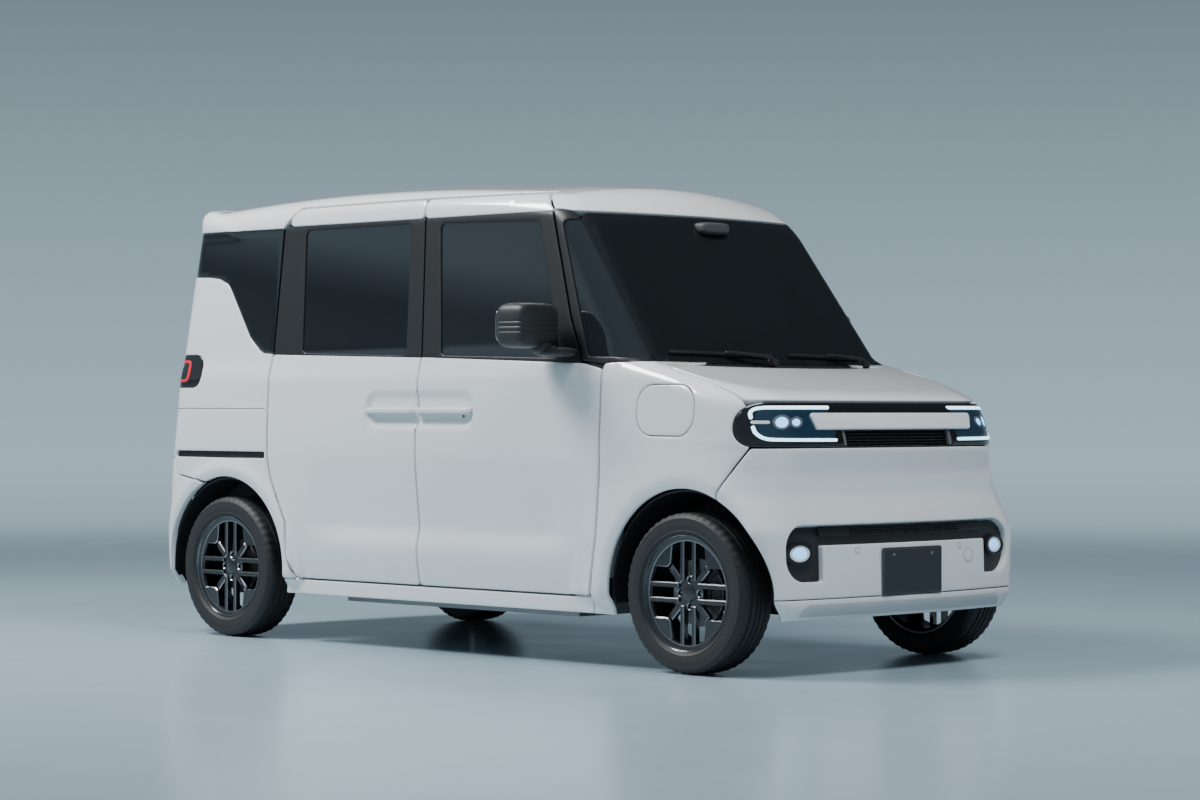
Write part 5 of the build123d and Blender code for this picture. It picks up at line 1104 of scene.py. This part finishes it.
bar_shape = rect(44, 184, 18, 36, 1.5)
spoke_shape = rect(52, 126, -13, 13, 3.0)
corner_shape = np.concatenate([((75, 165), (83, 100), (98, 88), (158, 88)), arc(0, 0, 183, 30, 64, 12)])
lugs = [circle(spun(((LUG_CIRCLE, 0),), k)[0], 9.5, 18) for k in QUARTERS]
rim_parts = [turned(BARREL, 112, bright=(1, 4)), plate(circle((0, 0), 62, 48), 18, 50, 4.0, lugs)]
for k in QUARTERS:
    for shape in (bar_shape, bar_shape * np.array((1, -1))):
        rim_parts.append(plate(spun(shape, k), 36, 60, 3.5))
    rim_parts.append(plate(spun(spoke_shape, k + 45), 34, 54, 4.0))
for flip_p, flip_q in ((1, 1), (-1, 1), (-1, -1), (1, -1)):
    rim_parts.append(plate(corner_shape * np.array((flip_p, flip_q)), 46, 58, 3.0))
rim_mesh = joined(rim_parts)
cap_mesh = turned(((0.5, 57), (16, 56.5), (27, 54), (30, 50), (30, 44), (0.5, 44)), 48)
nut_mesh = joined([plate(circle(spun(((LUG_CIRCLE, 0),), k)[0], 7.5, 6), 18, 40, 2.0) for k in QUARTERS])
disc_mesh = turned(((118, -8), (118, 2), (74, 2), (70, 18), (30, 18), (30, 12), (64, 12), (68, -8)), 72)
drum_mesh = turned(((104, -30), (108, -22), (108, 4), (100, 10), (40, 16), (40, -30)), 72)


def sector(r0, r1, low, high, from_deg, to_deg):
    outline = np.concatenate([arc(0, 0, r0, from_deg, to_deg, 12), arc(0, 0, r1, to_deg, from_deg, 14)])
    return plate(outline, low, high, 3.0)


caliper_mesh = joined((sector(84, 136, 8, 28, -30, 30), sector(84, 136, -36, -15, -30, 30),
                       sector(126, 138, -36, 28, -24, 24)))
for place, x in (("front", FRONT_X), ("rear", REAR_X)):
    for hand, side in HANDS:
        tag = "_%s_%s" % (place, hand)
        brake = (disc_mesh, STEEL) if place == "front" else (drum_mesh, CHASSIS)
        for label, mesh, mats, slot in (
                ("tyre", (tyre_verts, tyre_faces, [0] * len(tyre_faces)), (RUBBER,), "tyre"),
                ("rim", rim_mesh, (RIM, EDGE), "rim_alloy"), ("rim_cap", cap_mesh, (RIM,), "rim_alloy"),
                ("rim_nuts", nut_mesh, (STEEL, EDGE), "rim_alloy"),
                ("brake", brake[0], (brake[1], brake[1]), "chassis_steel")):
            made = closed_object(label + tag + "_visual", mesh, mats, "wheel" + tag, slot, 28.0,
                                 lambda v: outward(v, x, WHEEL_Y, AXLE_Z, side))
            if label in ("tyre", "rim"):
                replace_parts(made, label + tag)
        if place == "front":
            closed_object("caliper" + tag, caliper_mesh, (CHASSIS, GREY), "steer_%s_body" % hand,
                          "chassis_steel", place=lambda v: outward(v, x, WHEEL_Y, AXLE_Z, side))


# Cabin: padded seats, display, door rests, charge socket
FRONT_SEAT_Y, REAR_SEAT_Y = 320.0, 262.0


def seat_pad(name, centre, half, lean, seams=()):
    """Crowned pad leaning back by lean degrees, with sewn channels at the given shares of its width."""
    v, f, k = pod((0, 0, 0), half, 0.55, 0.42, 44, 64)
    top = step01((v[:, 2] / half[2] - 0.1) / 0.5)
    for share in seams:
        v[:, 2] -= 9.0 * top * np.exp(-((np.abs(v[:, 1]) - share * half[1]) / 8.0) ** 2)
        v[:, 2] += 7.0 * top * step01((np.abs(v[:, 1]) / half[1] - share) / 0.2)
    for cross in (-0.35, 0.3):
        middle = np.abs(v[:, 1]) < 0.62 * half[1]
        v[:, 2] -= 5.0 * top * np.exp(-((v[:, 0] - cross * half[0]) / 7.0) ** 2) * middle
    c, s = math.cos(math.radians(lean)), math.sin(math.radians(lean))
    v = columns(v[:, 0] * c - v[:, 2] * s, v[:, 1], v[:, 0] * s + v[:, 2] * c) + np.array(centre)
    made = closed_object(name, (v, f, k), (FABRIC,), "body", "seat_fabric", 80.0)
    return made


for hand, side in HANDS:
    y = side * FRONT_SEAT_Y
    pad = seat_pad("front_cushion_" + hand, (165, y, 500), (245, 228, 82), 4, seams=(0.62,))
    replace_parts(pad, "front_seats")
    seat_pad("front_back_" + hand, (-208, y, 815), (285, 220, 62), 107, seams=(0.64,))
    seat_pad("front_headrest_" + hand, (-300, y, 1180), (92, 122, 46), 100)
    base = joined((pod((60, 0, 345), (165, 170, 78), 0.4, 0.3),
                   tube(((-268, -55, 1040), (-283, -55, 1120)), 6.0),
                   tube(((-268, 55, 1040), (-283, 55, 1120)), 6.0)))
    closed_object("front_seat_base_" + hand, base, (TRIM,), "body", "cabin_plastic",
                  place=lambda v: v + (0, y, 0))
for hand, side in HANDS:
    y = side * REAR_SEAT_Y
    pad = seat_pad("rear_cushion_" + hand, (-755, y, 500), (215, 258, 80), 3, seams=(0.7,))
    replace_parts(pad, "rear_seat")
    seat_pad("rear_back_" + hand, (-1052, y, 800), (275, 258, 55), 104, seams=(0.7,))
closed_object("rear_seat_base", pod((-700, 0, 345), (90, 480, 85), 0.4, 0.3), (TRIM,), "body", "cabin_plastic")
display = rect(-130, 130, -78, 78, 14.0)
display = joined((plate(display, 0, 12, 3.0), plate(rounded(grow(display, -8.0), 0.0), 11.0, 12.8, 0.5)))
closed_object("centre_display", display, (DISPLAY, TRIM), "body", "cabin_plastic",
              place=lambda v: columns(668 - v[:, 2], -v[:, 0], 1096 + v[:, 1]))
for hand, side in HANDS:
    rest = joined((pod((330, 660, 745), (230, 20, 26), 0.6, 0.3), pod((560, 662, 860), (70, 9, 14), 0.6, 0.4)))
    closed_object("door_rest_" + hand, rest, (TRIM,), "door_%s_body" % hand, "cabin_plastic",
                  place=lambda v: v * (1, side, 1))
socket = turned(((52, 0), (52, 26), (48, 30), (42, 30), (40, 8), (1, 8), (1, 0)), 48)
closed_object("charge_socket", socket, (PLASTIC, PLASTIC), "body", "black_plastic",
              place=lambda v: outward(v, 1175, 652, 914, -1))

# Wheel liners, kept inside the skin
SKIN_FOOT, LINER_INSET = 190.0, 16.0
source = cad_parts["wheel_liners"].data
liner = np.array([v.co for v in source.vertices]) / MM
edge_y = np.abs(spots(SIDE, columns(liner[:, 0], np.maximum(liner[:, 2], SKIN_FOOT)))[:, 1])
liner[:, 1] = np.sign(liner[:, 1]) * np.minimum(np.abs(liner[:, 1]), edge_y - LINER_INSET)
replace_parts(add_object("wheel_liner_shells", liner, [tuple(f.vertices) for f in source.polygons], (CHASSIS,)),
            "wheel_liners")

# Shown CAD nodes take materials
for names, mat in (
        (("floor_pan", "front_subframe", "rear_axle", "knuckle_right", "knuckle_left"), CHASSIS),
        (("battery_pack", "drive_unit"), ALLOY), (("dashboard", "steering_wheel"), TRIM)):
    for name in names:
        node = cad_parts[name]
        node.data.materials.clear()
        node.data.materials.append(mat)

# Floor, light and camera: the floor fades into a sky that is brighter above the camera's view
FLOOR_SIZE, FADE_FROM, FADE_TO = 60.0, 6.0, 14.0
bpy.ops.mesh.primitive_plane_add(size=FLOOR_SIZE, location=(0, 0, 0))
ground = bpy.context.object
ground.name = "studio_floor"
floor_mat = material("studio_floor", (0.34, 0.45, 0.52), 0.22, noise=0.04, scale=3.0)
tree = floor_mat.node_tree
spot = add_node(tree, "ShaderNodeTexCoord")
reach = add_node(tree, "ShaderNodeVectorMath", operation="LENGTH")
fade = add_node(tree, "ShaderNodeMapRange", {"From Min": FADE_FROM, "From Max": FADE_TO, "To Min": 1.0,
                                             "To Max": 0.0})
fade.interpolation_type = "SMOOTHSTEP"
tree.links.new(spot.outputs["Object"], reach.inputs[0])
tree.links.new(reach.outputs["Value"], fade.inputs["Value"])
tree.links.new(fade.outputs["Result"], tree.nodes["Principled BSDF"].inputs["Alpha"])
ground.data.materials.append(floor_mat)
world = bpy.data.worlds.new("studio")
bpy.context.scene.world = world
world.use_nodes = True
tree, links = world.node_tree, world.node_tree.links
sky = tree.nodes["Background"]
# Brightness against the height of a direction; above SKY_EDGE the car's left side of the sky is darker
SKY = ((-1.0, 0.24), (-0.06, 0.38), (-0.02, 0.66), (0.03, 0.54), (0.14, 0.27), (0.1865, 0.13), (0.189, 0.62),
       (0.45, 0.32), (0.8, 0.38), (1.0, 0.40))
SKY_TINT = (0.74, 1.0, 1.18)
SKY_POWER, SKY_EDGE, DARK_SIDE, DARK_FROM, DARK_TO = 0.85, 0.188, 0.85, -0.35, 0.45
coord = add_node(tree, "ShaderNodeTexCoord")
split = add_node(tree, "ShaderNodeSeparateXYZ")
height = add_node(tree, "ShaderNodeMapRange", {"From Min": -1.0})
ramp = add_node(tree, "ShaderNodeValToRGB")
upper = add_node(tree, "ShaderNodeMath", {1: SKY_EDGE}, "GREATER_THAN")
lack = add_node(tree, "ShaderNodeMapRange", {"From Min": DARK_FROM, "From Max": DARK_TO, "To Min": 0.0,
                                             "To Max": DARK_SIDE * SKY_POWER})
dim = add_node(tree, "ShaderNodeMath", operation="MULTIPLY")
gain = add_node(tree, "ShaderNodeMath", {0: SKY_POWER}, "SUBTRACT")
elements = ramp.color_ramp.elements
while len(elements) < len(SKY):
    elements.new(0.5)
for element, (z, level) in zip(elements, SKY):
    element.position = (z + 1) / 2
for element, (z, level) in zip(elements, SKY):
    element.color = (*[level * c for c in SKY_TINT], 1)
for source, target in (
        (coord.outputs["Generated"], split.inputs["Vector"]), (split.outputs["Z"], height.inputs["Value"]),
        (height.outputs["Result"], ramp.inputs["Fac"]), (ramp.outputs["Color"], sky.inputs["Color"]),
        (split.outputs["Z"], upper.inputs[0]), (split.outputs["Y"], lack.inputs["Value"]),
        (upper.outputs["Value"], dim.inputs[0]), (lack.outputs["Result"], dim.inputs[1]),
        (dim.outputs["Value"], gain.inputs[1]), (gain.outputs["Value"], sky.inputs["Strength"])):
    links.new(source, target)


def area_light(name, place, target, size, power):
    data = bpy.data.lights.new(name, "AREA")
    data.shape = "RECTANGLE"
    data.size, data.size_y = size
    data.energy = power
    obj = bpy.data.objects.new(name, data)
    obj.location = place
    obj.rotation_euler = (Vector(target) - Vector(place)).to_track_quat("-Z", "Y").to_euler()
    bpy.context.scene.collection.objects.link(obj)
    return obj


area_light("key", (-3.0, -3.4, 6.2), (-0.2, 0, 0.7), (3.0, 2.0), 760)
area_light("nose", (4.0, -0.6, 6.2), (1.3, 0, 0.6), (3.0, 2.0), 380).visible_glossy = False

# Camera at the photo's angle
LENS, SENSOR, CAMERA_AT = 92.77, 36.0, (8.5664, -8.5173, 0.9242)
AZIMUTH, ELEVATION, TILT = math.radians(44.657), math.radians(-0.132), math.radians(0.088)
cam_data = bpy.data.cameras.new("camera")
cam_data.lens = LENS
cam_data.sensor_width = SENSOR
cam = bpy.data.objects.new("camera", cam_data)
reach = math.cos(ELEVATION)
back = Vector((math.sin(AZIMUTH) * reach, -math.cos(AZIMUTH) * reach, math.sin(ELEVATION)))
level = Vector((0, 0, 1)).cross(back).normalized()
rise = back.cross(level)
right = level * math.cos(TILT) + rise * math.sin(TILT)
up = rise * math.cos(TILT) - level * math.sin(TILT)
cam.matrix_world = Matrix([(*axes, place) for *axes, place in zip(right, up, back, CAMERA_AT)] + [(0, 0, 0, 1)])
bpy.context.scene.collection.objects.link(cam)
bpy.context.scene.camera = cam
